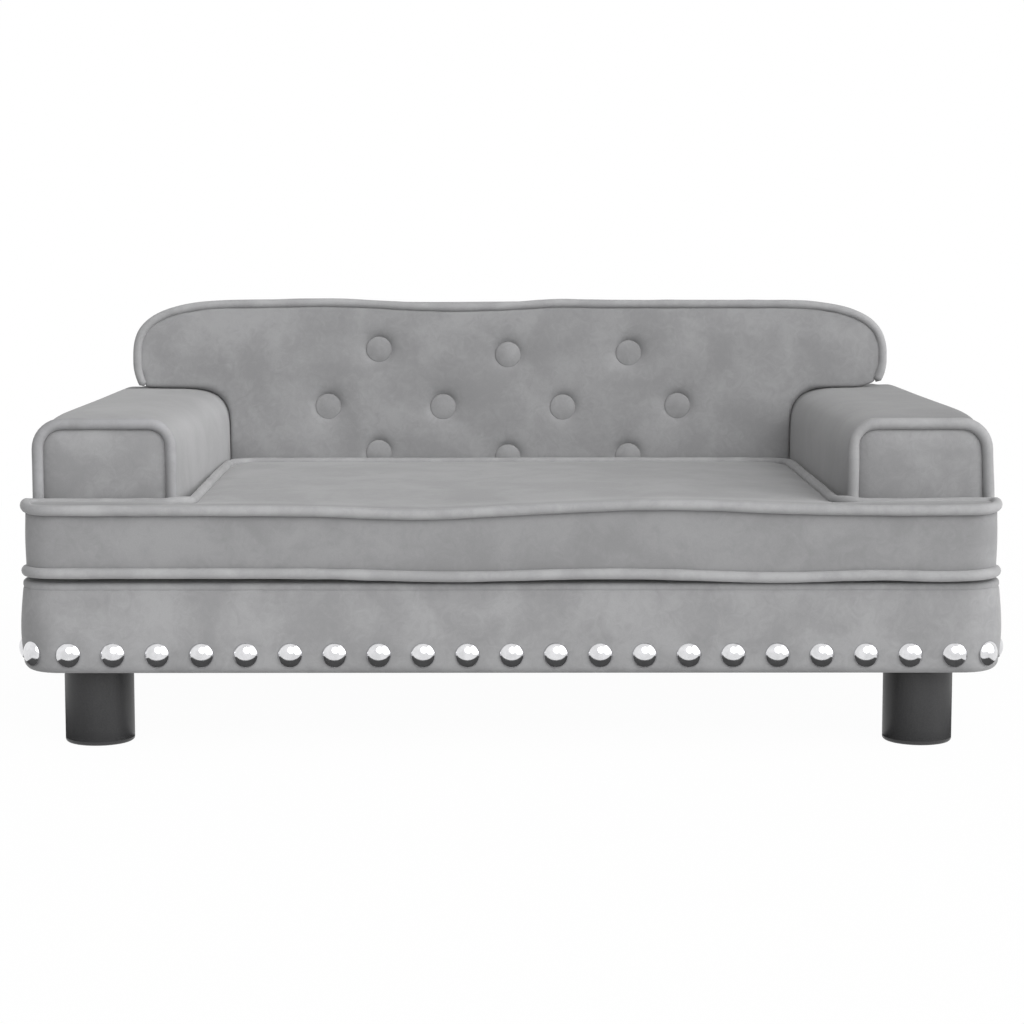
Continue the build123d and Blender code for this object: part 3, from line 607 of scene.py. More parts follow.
# %% [markdown]
# The band is a strip sewn tight between the two pipings, so it stays nearly flat. The top panel comes
# up close behind the front piping, and later behind that of the sides and the rear. Both are set by
# formula, from each point's way to the seam. The share called late is near 0 at the front and along
# the lip, and 1 at the seat's sides and rear.

# %% Flat band and full edges
def beside(points, path):
    """For each point, how far it is inside a closed path in plan, and the way out at the nearest spot."""
    ways = outward(path)
    nearest = np.concatenate([
        ((part[:, None] - path[None]) ** 2).sum(-1).argmin(1) for part in np.array_split(points[:, :2], 12)
    ])
    return ((path[nearest] - points[:, :2]) * ways[nearest]).sum(1), ways[nearest]


def lip_share(x):
    """0 along the seat and 1 along the lip's ends, in front of the arms."""
    return np.clip((np.abs(x) - 238) / 14, 0, 1)


inside, way = beside(points, cushion_path)
height = (points[:, 2] - lower_seam) / (upper_seam - lower_seam)
on_band = (height > -0.01) & (height < 1.01) & (inside < 12)
band_line = 0.1 - 0.7 * np.sin(pi * np.clip(height, 0, 1))
points[:, :2] += way * np.where(on_band, inside - band_line, 0)[:, None]
on_top = (height >= 0.999) & (inside > 0.5)
late = np.clip(1 + way[:, 1], 0, 1) * (1 - 0.85 * lip_share(points[:, 0]))
beyond = np.clip(inside - 1 - 5.5 * late, 0, None)
edge_rise = 3.4 * (1 - np.exp(-beyond / (4.5 + 5.0 * late))) + 1.4 * (1 - np.exp(-inside / 70))
edge_rise -= 1.0 * late * np.exp(-((inside / 6) ** 2))
share = np.exp(-((np.clip(inside - 6, 0, None) / 22) ** 2))
points[:, 2] = np.where(on_top, share * (upper_seam + edge_rise) + (1 - share) * points[:, 2], points[:, 2])
print("band points", int(on_band.sum()), "top points", int(on_top.sum()))

# %% [markdown]
# The zip lies in the band at the back. Its window is pressed in, so that the tape shows in it.

# %% Zip window, wave and finish
zip_z = (lower_seam + upper_seam) / 2
behind = (np.abs(points[:, 0]) < 214) & (np.abs(points[:, 2] - zip_z) < 13) & (points[:, 1] > 130)
points[behind, 1] = np.minimum(points[behind, 1], 147.6)
moved(seat_cushion, cushion_wave(points))
smoother(seat_cushion)
dress(seat_cushion, "cushion", cushion_velvet,
      ["cushion_foam", "cushion_top_panel", "cushion_bottom_panel", "cushion_band"])

# %% [markdown]
# ## Piping
# Piping is a cord wrapped in a strip of the same velvet and sewn into the seam. It is a tube carried
# along the seam: a circle set square to the path at each point. The cord isn't quite even, so its
# radius swells and thins by a few hundredths, the same way on each run of the script.

# %% Tubes along a path
up = np.array([0.0, 0.0, 1.0])
forward = np.array([0.0, -1.0, 0.0])


def slow_noise(count, waves, seed):
    """A smooth round signal of about unit size: a sum of sines with seeded strengths and phases."""
    chance = np.random.default_rng(seed)
    turn = np.linspace(0, 2 * pi, count, endpoint=False)
    orders = np.arange(1, waves + 1)
    strength = chance.normal(size=waves) / np.sqrt(waves)
    phase = chance.uniform(0, 2 * pi, waves)
    return (strength * np.sin(orders * turn[:, None] + phase)).sum(1) * 1.4


def piping(name, path, out, side_axis, radius, closed, seed, sides=14):
    """A tube: path + radius * (cos a * out + sin a * side_axis), with an uneven radius.

    path holds points in space, out the unit normals in the plane of the path. An open tube closes to
    a point over its last half radius, so its end looks like cloth folded over the cord.
    """
    count = len(path)
    uneven = radius * (1 + 0.02 * slow_noise(count, count // 9, seed))
    if not closed:
        run = np.arange(count) * np.linalg.norm(path[1] - path[0])
        tip = np.minimum(run, run[::-1]) / radius
        uneven *= np.sqrt(1 - np.clip(1 - tip, 0, 1) ** 2)
    angle = np.linspace(0, 2 * pi, sides, endpoint=False)
    around = np.cos(angle)[None, :, None] * out[:, None] + np.sin(angle)[None, :, None] * side_axis
    length = np.linalg.norm(np.diff(path, axis=0), axis=1).sum()
    tube = path[:, None] + uneven[:, None, None] * around
    return closed_up(woven(name, tube, closed, True, (length, 2 * pi * radius)))


def upright_piping(name, path, radius, seed):
    """An open piping along a path in a front view, with its ends at the path's."""
    flat_out = outward(path[:, ::2], closed=False)
    out = np.column_stack([flat_out[:, 0], np.zeros(len(path)), flat_out[:, 1]])
    return piping(name, path, out, forward, radius, False, seed)


print("a cord's radius varies by up to", round(2 * float(np.abs(slow_noise(720, 80, 3)).max()), 1), "%")

# %% [markdown]
# The cushion's two pipings share its outline and its wave. At the front they stand 1.9 mm out, and
# elsewhere they are tucked in by 0.5 mm. The upper one stands 1 mm higher at the sides and the rear,
# and lies a little lower behind the lip.

# %% Cushion piping
for level, name, seed in ((upper_seam, "top", 3), (lower_seam, "bottom", 5)):
    path = np.column_stack([cushion_path, np.full(len(cushion_path), level)])
    out = np.column_stack([outward(cushion_path), np.zeros(len(cushion_path))])
    tucked = 0.5 - 2.4 * np.clip(-out[:, 1:2], 0, 1) ** 2
    if name == "top":
        path[:, 2] += 1.0 * np.clip(1 + out[:, 1], 0, 1)
        path[:, 2] -= 1.3 * lip_share(path[:, 0]) * np.clip(out[:, 1], 0, 1)
    cord = piping(f"seat_{name}_piping", cushion_wave(path - tucked * out), out, up, 3.8, True, seed)
    dress(cord, "cushion", piping_velvet, [f"cushion_{name}_piping"])

# %% [markdown]
# ## Arms
# An arm is a board box wrapped in foam and one strip of velvet over the inside, top and outside. A
# domed facing closes its front, with piping round it. Behind the facing the foam swells to a fuller
# arch. The backrest's wings lie on that arch, so its formula shapes both parts.

# %% The seam round an arm's facing
outer_radius, inner_radius = 18, 16


def arm_outline(side, count=96):
    """The seam round an arm's facing, from the front: open at the bottom, anticlockwise on both sides."""
    corners = [(arm_outer, base_top), (arm_outer, arm_seam), (arm_inner, arm_seam), (arm_inner, base_top)]
    path = rounded(corners, [0, outer_radius, inner_radius, 0], closed=False, count=count)
    return path if side > 0 else (path * (-1, 1))[::-1]


def front_view(path, y):
    """Points of an outline in the front view, placed at a depth."""
    return np.column_stack([path[:, 0], np.full(len(path), y), path[:, 1]])


print("facing seam of", round(float(np.linalg.norm(np.diff(arm_outline(1), axis=0), axis=1).sum())), "mm")

# %% The swollen arch
arch_side, arch_wide, arch_high, arch_power = 239.8, 55, 42, 3.8
arch_tops = {-1: 235.9, 1: 236.7}
arch_lifts = {-1: 0.8, 1: 2.2}


def arch_outer_share(x):
    """The arch's top rises evenly from x = 290 to 340, by its lift in all."""
    return np.clip((x - 290) / 50, 0, 1)


def arm_distance(points):
    """How far points are outside an arm's swollen arch in the front view, and the way out.

    The arch's inner top corner is |u / 55|^3.8 + |v / 42|^3.8 = 1. With g for the left side to the
    power of 1 / 3.8, the distance is g - 1 divided by the length of g's gradient.
    """
    side = np.where(points[:, 0] < 0, -1, 1)
    x = np.abs(points[:, 0])
    top = np.where(side < 0, arch_tops[-1], arch_tops[1])
    top += np.where(side < 0, arch_lifts[-1], arch_lifts[1]) * arch_outer_share(x)
    u = np.clip(arch_side + arch_wide - x, 1e-6, None) / arch_wide
    v = np.clip(points[:, 2] - top + arch_high, 1e-6, None) / arch_high
    level = (u**arch_power + v**arch_power) ** (1 / arch_power)
    slope = np.stack([-side * (u / level) ** (arch_power - 1) / arch_wide,
                      (v / level) ** (arch_power - 1) / arch_high], axis=1)
    steep = np.linalg.norm(slope, axis=1)
    return (level - 1) / steep, slope / steep[:, None]


inner_wall = np.array([(arch_side - 3, 0, 180.0)])
print("3 mm inside the arms' gap is", round(float(arm_distance(inner_wall)[0][0]), 2), "mm from the arch")

# %% Pressing pads together
touch_front, touch_rear = 162, 216


def pressed(points, rest, side):
    """Presses points on the face where arm and backrest touch, so that it ends up at one distance.

    Points within 5 mm of the face move to the resting distance. The move fades in over 5 mm behind the
    backrest's front seam. side is 1 for the arm's own points, which are inside the arch, and -1 for the
    backrest's. Points on the wrong side move in any case.
    """
    gap, way = arm_distance(points)
    zone = (np.abs(points[:, 0]) < 318) & (points[:, 2] < 243) & (points[:, 2] > base_top + 1)
    behind = np.clip((points[:, 1] - touch_front) / 5, 0, 1)
    behind *= np.clip((touch_rear - points[:, 1]) / 8, 0, 1)
    push = np.where(zone & (np.abs(gap) < 5), (rest - gap) * behind, 0)
    push = np.where(zone & (gap * side > rest * side) & (np.abs(gap) < 8), rest - gap, push)
    result = points.copy()
    result[:, 0] += push * way[:, 0]
    result[:, 2] += push * way[:, 1]
    return result


on_wall = pressed(np.array([(arch_side - 3, 190.0, 180.0)]), 0.1, -1)
print("a point 3 mm off the arm is pressed to", round(float(arm_distance(on_wall)[0][0]), 2), "mm off")

# %% [markdown]
# The sleeve is a body of rings, one behind the other, so its mesh has clean rows along the arm. Near
# the seam the rings have the facing's outline, and 22 mm further back most of the swell is there. The
# pressure then adds up to 1 mm, and the face under the backrest is pressed to the arch.

# %% Arm sleeves
def swollen_outline(side, count=96):
    """The arch of the stuffed arm behind its facing: outer corner a circle, inner corner as above."""
    turn = np.linspace(pi / 2, 0, 60)
    top, outer = arch_tops[side], arm_outer + 1.8
    corner = np.stack([arch_side + arch_wide * (1 - np.cos(turn) ** (2 / arch_power)),
                       top - arch_high * (1 - np.sin(turn) ** (2 / arch_power))], axis=1)
    corners = np.vstack([[(outer, base_top), (outer, top)], corner, [(arch_side, base_top)]])
    path = rounded(corners, [0, 13] + [0] * 61, closed=False, count=count)
    high = np.clip((path[:, 1] - 190) / 30, 0, 1)
    path[:, 1] += arch_outer_share(path[:, 0]) * high * arch_lifts[side]
    return path if side > 0 else (path * (-1, 1))[::-1]


def leaned(points):
    """The right arm's front stands 1.3 mm further right, and its outer foot another 2.4 mm.

    Both fade away towards the backrest.
    """
    x, y, z = np.moveaxis(points, -1, 0)
    front = np.clip((150 - y) / 330, 0, 1) * (x > 0)
    foot = np.clip((x - 244) / 96, 0, 1) * np.clip((225 - z) / 50, 0, 1)
    return points + np.stack([front * (1.3 + 2.4 * foot), 0 * x, 0 * x], axis=-1)


def arm_rings(side):
    """Rings of the sleeve: the seam's arch swells to the full one as 1 - e to the power of -d / 22.

    d is the depth behind the seam. The rear edge is rounded off, and the last rings shrink to the
    middle of the rear end.
    """
    front_end, rear_end = [-181.2, -178.5, -175], [207, 210.5, 213.5, 216, 218, 218.9]
    depths = np.concatenate([front_end, np.arange(-171, 204, 5), rear_end])
    swell = (1 - np.exp(-(depths + 182) / 22))[:, None, None]
    tuck = 0.9 + 6.5 * np.clip((depths - 203) / 16, 0, 1) ** 3
    paths = arm_outline(side) * (1 - swell) + swollen_outline(side) * swell
    rings = [
        front_view(inset(path, edge, closed=False), y) for path, edge, y in zip(paths, tuck, depths)
    ]
    middle = np.array([side * 292, 219.2, 178])
    rings += [middle + (rings[-1] - middle) * share for share in (0.92, 0.8, 0.6, 0.4, 0.2, 0.05)]
    return np.stack(rings)


for side, name in ((-1, "left"), (1, "right")):
    sleeve = body_of_rings(f"{name}_arm_sleeve", arm_rings(side)[:, ::-side])
    points = coordinates(sleeve)
    held = (points[:, 1] < -177) | (points[:, 2] < base_top + 2) | (points[:, 1] > 217)
    plumped(sleeve, held, 1.0, pressure=2.0, calm=70)
    points = coordinates(sleeve)
    points[:, 2] = np.maximum(points[:, 2], base_top + 0.1)
    points[:, 2] -= 1.7 * np.clip((base_top + 4 - points[:, 2]) / 4, 0, 1)
    moved(sleeve, leaned(pressed(points, -0.05, 1.0)))
    smoother(sleeve)
    dress(sleeve, "base", arm_velvets[side], [f"{name}_arm_cover", f"{name}_arm_foam"])

# %% [markdown]
# The facing is a small domed pillow over a board. A grid gives it even rows, and the same grid with
# thickness behind it closes the arm's front. The left facing's piping has a velvet of its own with
# painted shade and light: it is darker than the other pipings, and its faces turned right are painted
# lighter still.

# %% Arm facings and their piping
def facing_grid(side, across=40, up_rows=44):
    """The facing: a pillow over the arch's area.

    Rows climb from the base to the top, and each spans the arch's width at its height, which the top
    corners cut down as circles do. The pillow rises 6.5 * (1 - e to the power of -d / 6) in front of
    the seam, where d is the distance from the seam.
    """
    edge = 1.0
    inner, outer, top = arm_inner + edge, arm_outer - edge, arm_seam - edge
    climb = np.sin(np.linspace(0, pi / 2, up_rows))
    z = base_top + (top - base_top) * climb
    cuts = []
    for radius in (inner_radius - edge, outer_radius - edge):
        above = np.clip(z - (top - radius), 0, radius)
        cuts.append(radius - np.sqrt(radius**2 - above**2))
    share = (1 - np.cos(np.linspace(0, pi, across))) / 2
    x = (inner + cuts[0])[:, None] * (1 - share) + (outer - cuts[1])[:, None] * share
    z = np.repeat(z[:, None], across, axis=1)
    gap = np.minimum(np.minimum(x - inner, outer - x), top - z)
    corners = (
        (inner_radius - edge, inner + inner_radius - edge, -1),
        (outer_radius - edge, outer - outer_radius + edge, 1),
    )
    for radius, centre_x, sign in corners:
        beyond = ((x - centre_x) * sign > 0) & (z > top - radius)
        reach = radius - np.hypot(x - centre_x, z - (top - radius))
        gap = np.where(beyond, reach, gap)
    rise = 6.5 * (1 - np.exp(-np.clip(gap, 0, None) / 6))
    y = arm_front + 3.2 - rise
    grid = np.stack([side * x, y, z], axis=-1)
    return grid[:, ::-1] if side > 0 else grid


for side, name in ((-1, "left"), (1, "right")):
    facing = woven(f"{name}_arm_front", leaned(facing_grid(side)))
    back = facing.modifiers.new("Thickness", "SOLIDIFY")
    back.thickness, back.offset = 1.2 * MM, -1
    dress(facing, "base", cut_velvet, [f"{name}_arm_facing"])
    seam = leaned(front_view(arm_outline(side), arm_front))
    cord = upright_piping(f"{name}_arm_cord", seam, 4.1, 11 + side)
    dress(cord, "base", facing_pipings[side], [f"{name}_arm_piping"])

# %% [markdown]
# ## Backrest
# The backrest is a padded board with wings that lie over the arms. Ten buttons are tied through it
# and pull soft dimples into the front. A T with rounded shoulders gives its front view. A superellipse
# gives the shoulders, because they are squarer than a circle.

# %% Backrest outline
back_top = 309.2
shoulder_x, shoulder_z = 222, 261.5


def shoulder(edge):
    """The right top corner: |u / a|^2.8 + |v / b|^2.8 = 1, squarer than a circle, from side to top."""
    turn = np.linspace(0, pi / 2, 40)
    a, b = back_x - shoulder_x - edge, back_top - shoulder_z - edge
    return np.stack([shoulder_x + a * np.cos(turn) ** (2 / 2.8),
                     shoulder_z + b * np.sin(turn) ** (2 / 2.8)], axis=1)


def wing_edge(edge):
    """The lower side edge of the right wing: an arc of 42 mm radius that turns in by 29 degrees."""
    turn = np.linspace(radians(-29), 0, 12)[:, None]
    return np.array([back_x - 42, 258]) + (42 - edge) * np.hstack([np.cos(turn), np.sin(turn)])


def back_outline(edge, low, count=620):
    """The T-shaped front view: edge moves the free edges in, low those beside the arms and the base."""
    under, side, foot = wing_z + low, back_low_x - low, 120.5 + low
    wing = wing_edge(edge)
    right = [(side, foot), (side, under), (wing[0, 0] - 2, under)]
    curve = np.vstack([wing, shoulder(edge)])
    corners = np.vstack([right, curve, curve[::-1] * (-1, 1), np.array(right[::-1]) * (-1, 1)])
    radii = [0, 19.6 + low, 0] + [0] * (2 * len(curve)) + [0, 19.6 + low, 0]
    return rounded(corners, radii, count=count)


print("backrest outline of", len(back_outline(0, 0)), "points")

# %% Backrest waves and button distances
def back_wave(points):
    """Moves points (x, y, z) up or down.

    The top edge has humps along x, which fade away below it. The front seam lies 1.2 mm lower, with a
    dip of 2.7 mm left of the middle, and that fades out 13 mm behind it. The wings' tips stand a
    little off the arms, the right one more: they rise from 297 mm outwards, and less the higher up.
    """
    x, y, z = points.T
    top = np.clip((z - 262) / 44, 0, 1)
    humps = 1.3 * hump(x, -156, 44) + 1.1 * hump(x, 41, 24) - 0.4 * hump(x, -70, 44)
    seam = (1.2 + 2.7 * hump(x, -42, 62)) * np.clip((176 - y) / 13, 0, 1) * np.clip((z - 284) / 20, 0, 1)
    tip = np.clip((np.abs(x) - 297) / 18, 0, 1) ** 1.2 * np.clip((275 - z) / 35, 0, 1)
    return np.column_stack([x, y, z + humps * top - seam + tip * np.where(x > 0, 4.8, 0.5)])


def button_gap(points):
    """How far each point is from the nearest button's axis, and how far above that axis it is."""
    over = points[:, 2, None] - buttons[:, 1]
    gaps = np.hypot(points[:, 0, None] - buttons[:, 0], over)
    nearest = gaps.argmin(1)[:, None]
    return np.take_along_axis(gaps, nearest, 1)[:, 0], np.take_along_axis(over, nearest, 1)[:, 0]


ridge = np.column_stack([np.linspace(-200, 200, 99), np.full(99, 190), np.full(99, 306)])
print("the top edge waves over", round(float(np.ptp(back_wave(ridge)[:, 2])), 1), "mm")

# %% [markdown]
# The start shape is a stack of outlines from front to rear, a few millimetres inside the final pad. It
# has shallow dimples already. The front seam, the buttons and the foot are held, and the pressure
# rounds the cloth between them. Then the wings are pressed on the arms.

# %% Backrest body
back_steps = [
    (161.2, 1.2, 4.4), (164.5, 1.4, 3.4), (171, 1.0, 2.8), (182, 0.6, 2.6),
    (208, 0.6, 2.6), (218, 2.2, 3.6), (223.4, 6.5, 6.0),
]
rings = np.stack([front_view(back_outline(edge, low), y) for y, edge, low in back_steps])
backrest = even_squares(body_of_rings("backrest_pad", rings), 4.5)
points = coordinates(backrest)
front_side = points[:, 1] < 163.3
gap, over = button_gap(points)
points[:, 1] += np.where(front_side, 1.7 * np.exp(-((gap / 20) ** 2)), 0)
moved(backrest, points)
tied = front_side & (gap < 8)
ring_gap = seam_distance(points[:, [0, 2, 1]], back_outline(1.2, 4.4, 2400))
seamed = (np.abs(points[:, 1] - 162) < 2.5) & (ring_gap < 4)
low_edge = points[:, 2] < 127
at_shoulder = np.clip((np.abs(points[:, 0]) - 225) / 40, 0, 1) * (points[:, 2] > 285)
plumped(backrest, tied | seamed | low_edge, 3.4 - 1.6 * at_shoulder, calm=5)
moved(backrest, back_wave(pressed(coordinates(backrest), 0.1, -1.0)))
settled(smoother(backrest))
print("backrest of", len(backrest.data.polygons), "faces before the pinches")

# %% [markdown]
# Each button then pinches the finer mesh. Right above the button the cloth dives in steeply, and the
# pinch dies away within a centimetre: 5.4 mm deep, then less by e for each 3.2 mm. Below the button
# the cloth is fuller, since the button's weight hangs on the twine. The seam of the rear panel is a
# groove round the pad, 1.3 mm deep along the surface's normals.

# %% Pinches under the buttons, and the rear seam
points = coordinates(backrest)
gap, over = button_gap(points)
above = 0.5 + 0.5 * over / np.maximum(gap, 1)
pinch = 5.4 * (0.4 + 0.6 * above) * np.exp(-np.clip(gap - 9.5, 0, None) / 3.2)
points[:, 1] += np.where(points[:, 1] < 166, pinch, 0)
ways = vectors(backrest.data.vertex_normals, "vector")
seam_depth = 1.3 * hump(points[:, 1], 213.5, 1.9) * (np.abs(ways[:, 1]) < 0.7)
points -= ways * seam_depth[:, None]
foremost = 157.7
points[:, 1] = np.clip(points[:, 1], foremost, back_rear)
moved(backrest, points)
print("deepest pinch at y", round(float(points[points[:, 1] < 172, 1].max()), 1))
dress(backrest, "base", back_velvet,
      ["backrest_front_foam", "backrest_front_panel", "backrest_band", "backrest_rear_wadding",
       "backrest_rear_panel"])

# %% [markdown]
# The piping starts under one wing tip, goes up and over, and ends under the other.

# %% Backrest piping
half = np.vstack([wing_edge(0), shoulder(0)])
back_path = rounded(np.vstack([half, half[::-1] * (-1, 1)]), [0] * 2 * len(half), 2.5, closed=False)
cord = upright_piping("backrest_cord", back_wave(front_view(back_path, back_front)), 3.7, 21)
dress(cord, "base", piping_velvet, ["backrest_piping"])

# %% [markdown]
# ## Buttons
# A covered button is a metal cap with velvet stretched over it. It is a profile turned round its axis:
# a shallow dome, a rounded rim and a short tucked side.

# %% Turned shapes
def turned(profile, sides=32):
    """A profile of (radius, height) pairs turned round: (r cos a, r sin a, h)."""
    angle = np.linspace(0, 2 * pi, sides, endpoint=False)
    radius, height = np.asarray(profile, float).T
    ring = np.stack([np.cos(angle), np.sin(angle)], axis=-1)
    flat = radius[:, None, None] * ring[None]
    return np.concatenate([flat, np.broadcast_to(height[:, None, None], (len(radius), sides, 1))], axis=-1)


def repeated(name, shape, places, axes):
    """Copies of a turned shape: each point becomes place + x * side + y * up + z * out.

    places is a list of points, and axes holds for each the three directions side, up and out.
    """
    copies = np.einsum("rsk,nkd->nrsd", shape, axes) + np.asarray(places)[:, None, None]
    rows, sides = shape.shape[:2]
    starts = np.arange(len(places)) * rows * sides
    quads = (wall_quads(rows, sides)[None] + starts[:, None, None]).reshape(-1, 4)
    mesh = bpy.data.meshes.new(name)
    mesh.from_pydata((copies.reshape(-1, 3) * MM).tolist(), [], quads.tolist())
    return closed_up(placed(name, mesh))


print("a turned shape has", turned([(1.0, 0.0)]).shape[1], "points round")

# %% Buttons
rim = np.linspace(-0.4, pi / 2, 7)
button_profile = [(0.0, -0.6), (9.6, -0.6)]
button_profile += [(9.4 + 1.7 * cos(a), 1.5 + 1.7 * sin(a)) for a in rim]
button_profile += [(r, 3.2 + 1.2 * (1 - (r / 9.4) ** 2)) for r in (8.4, 6.5, 4.5, 2.4, 0.0)]
facing_front = np.array([[1.0, 0, 0], [0, 0, 1.0], [0, -1.0, 0]])
button_places = np.column_stack([buttons[:, 0], np.full(len(buttons), button_seat), buttons[:, 1]])
covered = repeated("covered_buttons", turned(button_profile), button_places,
                   np.broadcast_to(facing_front, (len(buttons), 3, 3)))
dress(covered, "base", back_velvet, ["backrest_buttons"])

# %% [markdown]
# ## Base
# One strip of velvet goes round the box and turns in above and below. It is a profile carried round
# the base's plan. A seam runs 5 mm under its top edge, and each nail presses a small pit. So the
# nails' places come first: x, y and the angle that each looks in.

# %% Nail places
nail_step, nail_z = 31.4, 70.6
front_nails = [(nail_step * i, -base_y, -pi / 2) for i in range(-10, 11)]
for turn_in in (radians(-43), radians(38)):
    front_nails.append(((base_x - base_corner) * np.sign(turn_in) + base_corner * sin(turn_in),
                        -base_y + base_corner * (1 - cos(turn_in)), turn_in - pi / 2))
side_nails = np.linspace(-183.3, 183.3, 13)
nail_sets = {
    "front": np.array(front_nails),
    "left": np.column_stack([np.full(13, -base_x), side_nails, np.full(13, pi)]),
    "right": np.column_stack([np.full(13, base_x), side_nails, np.zeros(13)]),
}
all_nails = np.vstack(list(nail_sets.values()))
print(len(all_nails), "nails")

# %% Base wrap
base_path = rounded(base_plan, [base_corner] * 4, 3.0)


def base_profile():
    """Height and inset of the wrap: hem, rounded foot, full side, seam groove, rounded top edge, hem.

    The side leans in by 0.7 mm and swells by 1.9 mm, in a half sine that is fullest below the middle.
    """
    quarter = np.linspace(0, pi / 2, 7)
    low_hem, high_hem = [(56.6, 20), (56.5, 14)], [(122.4, 8), (123.6, 13), (123.9, 20)]
    foot = [(63.9 - 7.5 * cos(a), 7.5 - 7.5 * sin(a)) for a in quarter]
    heights = np.arange(67, 115, 2.2)
    climb = (heights - 65) / 52
    side = list(zip(heights, 0.7 * climb - 1.9 * np.sin(pi * climb**0.8)))
    groove = [(115.4, 0.6), (116.0, 0.9), (116.5, 1.4), (117.0, 0.9), (117.6, 0.6)]
    top = [(119.2 + 2.6 * sin(a), 3.2 - 2.6 * cos(a)) for a in quarter]
    return np.array(low_hem + foot + side + groove + top + high_hem)


profile = base_profile()
normals = outward(base_path)
wrap = np.concatenate([
    base_path[:, None] - normals[:, None] * profile[None, :, 1, None],
    np.broadcast_to(profile[None, :, :1], (len(base_path), len(profile), 1)),
], axis=-1)
nail_gap = np.sqrt(((wrap[:, :, None, :2] - all_nails[None, None, :, :2]) ** 2).sum(-1)
                   + (wrap[:, :, None, 2] - nail_z) ** 2)
pit = (1.0 * np.exp(-((nail_gap / 10.5) ** 2.4))).max(-1)
uneven = 0.25 * slow_noise(len(base_path), 40, 31)[:, None] * hump(profile[:, 0], 93, 20)
wrap[:, :, :2] -= normals[:, None] * (pit - uneven)[:, :, None]
base_wrap = woven("base_wrap", wrap, round_rows=True)
inside = base_wrap.modifiers.new("Thickness", "SOLIDIFY")
inside.thickness, inside.offset = 1.5 * MM, -1
dress(base_wrap, "base", cut_velvet, ["base_cover", "base_padding"])

# %% [markdown]
# A nail head is a cap of a ball, pressed from sheet steel, with a short turned rim. The ball's radius
# follows from the cap: (radius squared + height squared) / (2 * height). The heads stand 0.7 mm proud
# of the flat side, because the velvet swells round them.

# %% Nail heads
nail_radius, nail_height = 8.9, 4.4
ball = (nail_radius**2 + nail_height**2) / (2 * nail_height)
dome = [(0.0, -1.6), (nail_radius - 0.4, -1.6), (nail_radius, -1.2), (nail_radius, -0.1)]
dome += [(ball * sin(a), ball * cos(a) - ball + nail_height)
         for a in np.linspace(np.arcsin(nail_radius / ball), 0, 14)]
for name, places in nail_sets.items():
    out = np.column_stack([np.cos(places[:, 2]), np.sin(places[:, 2]), np.zeros(len(places))])
    across = np.column_stack([-np.sin(places[:, 2]), np.cos(places[:, 2]), np.zeros(len(places))])
    axes = np.stack([across, np.broadcast_to(up, out.shape), out], axis=1)
    spots = np.column_stack([places[:, :2] + 0.7 * out[:, :2], np.full(len(places), nail_z)])
    heads = repeated(f"nails_{name}", turned(dome, 44), spots, axes)
    dress(heads, "base", chrome, [f"nail_heads_{name}"])

# %% [markdown]
# A leg is a moulded cup with a rounded foot. Its profile is turned round, as the buttons' is. The
# photograph has the left legs 4 mm further out than the right ones.

# %% Legs
leg_profile = [(0.0, 0.3), (18, 0.3), (18.6, 0.0), (22.6, 0.0)]
leg_profile += [(22.6 + 2.4 * sin(a), 2.4 - 2.4 * cos(a)) for a in np.linspace(0.2, pi / 2, 6)]
leg_profile += [(25, 12), (25, 30), (25, 50), (25, 58.2), (24.6, 58.8), (23.6, 59), (0.0, 59)]
leg_y = float(box("leg_rear_left").mean(0)[1])
for x, side in ((-300, "left"), (296, "right")):
    for y, end in ((-leg_y, "front"), (leg_y, "rear")):
        leg = repeated(f"{end}_{side}_leg", turned(leg_profile, 64), [(x, y, 0)], np.eye(3)[None])
        dress(leg, "base", leg_plastic, [f"leg_{end}_{side}"])

# %% [markdown]
# ## Camera, floor and light
# The camera was fitted to the photograph's edges: nearly 2 m in front of the sofa, a little above it,
# with a long lens.

# %% Camera
camera_data = bpy.data.cameras.new("view")
camera_data.sensor_width = 36
camera_data.lens = 87.05
camera = bpy.data.objects.new("view", camera_data)
camera.location = (-0.00584, -1.952, 0.3645)
camera.rotation_euler = (radians(90 - 6.33), 0, radians(-0.2))
bpy.context.scene.collection.objects.link(camera)
bpy.context.scene.camera = camera
print("lens of", camera_data.lens, "mm")

# %% [markdown]
# The floor is pale paint that keeps the sofa's shadow. What the camera or a reflection sees of it is
# mostly white light of strength 1, all of it from 1.6 m outwards, so the floor has no edge. Every
# other ray meets plain paint, so the floor lights the sofa no more than paint would.

# %% Floor
def staged(name, rings, faces, paint):
    """A flat thing that isn't part of the sofa, from rings of points in metres."""
    mesh = bpy.data.meshes.new(name)
    mesh.from_pydata(np.reshape(rings, (-1, 3)).tolist(), [], faces)
    mesh.materials.append(paint)
    thing = bpy.data.objects.new(name, mesh)
    bpy.context.scene.collection.objects.link(thing)
    return thing


def square_ring(x, y, z):
    """The corners of a rectangle round the middle, anticlockwise."""
    return [(-x, -y, z), (x, -y, z), (x, y, z), (-x, y, z)]


def backdrop_rays(tree):
    """1 for rays that show the background: the camera's, and those of gloss and of glass. Else 0."""
    rays = add_node(tree, "ShaderNodeLightPath").outputs
    first = add_node(tree, "ShaderNodeMath", {
        0: rays["Is Camera Ray"], 1: rays["Is Glossy Ray"],
    }, operation="MAXIMUM")
    return add_node(tree, "ShaderNodeMath", {
        0: first.outputs[0], 1: rays["Is Transmission Ray"],
    }, operation="MAXIMUM").outputs[0]


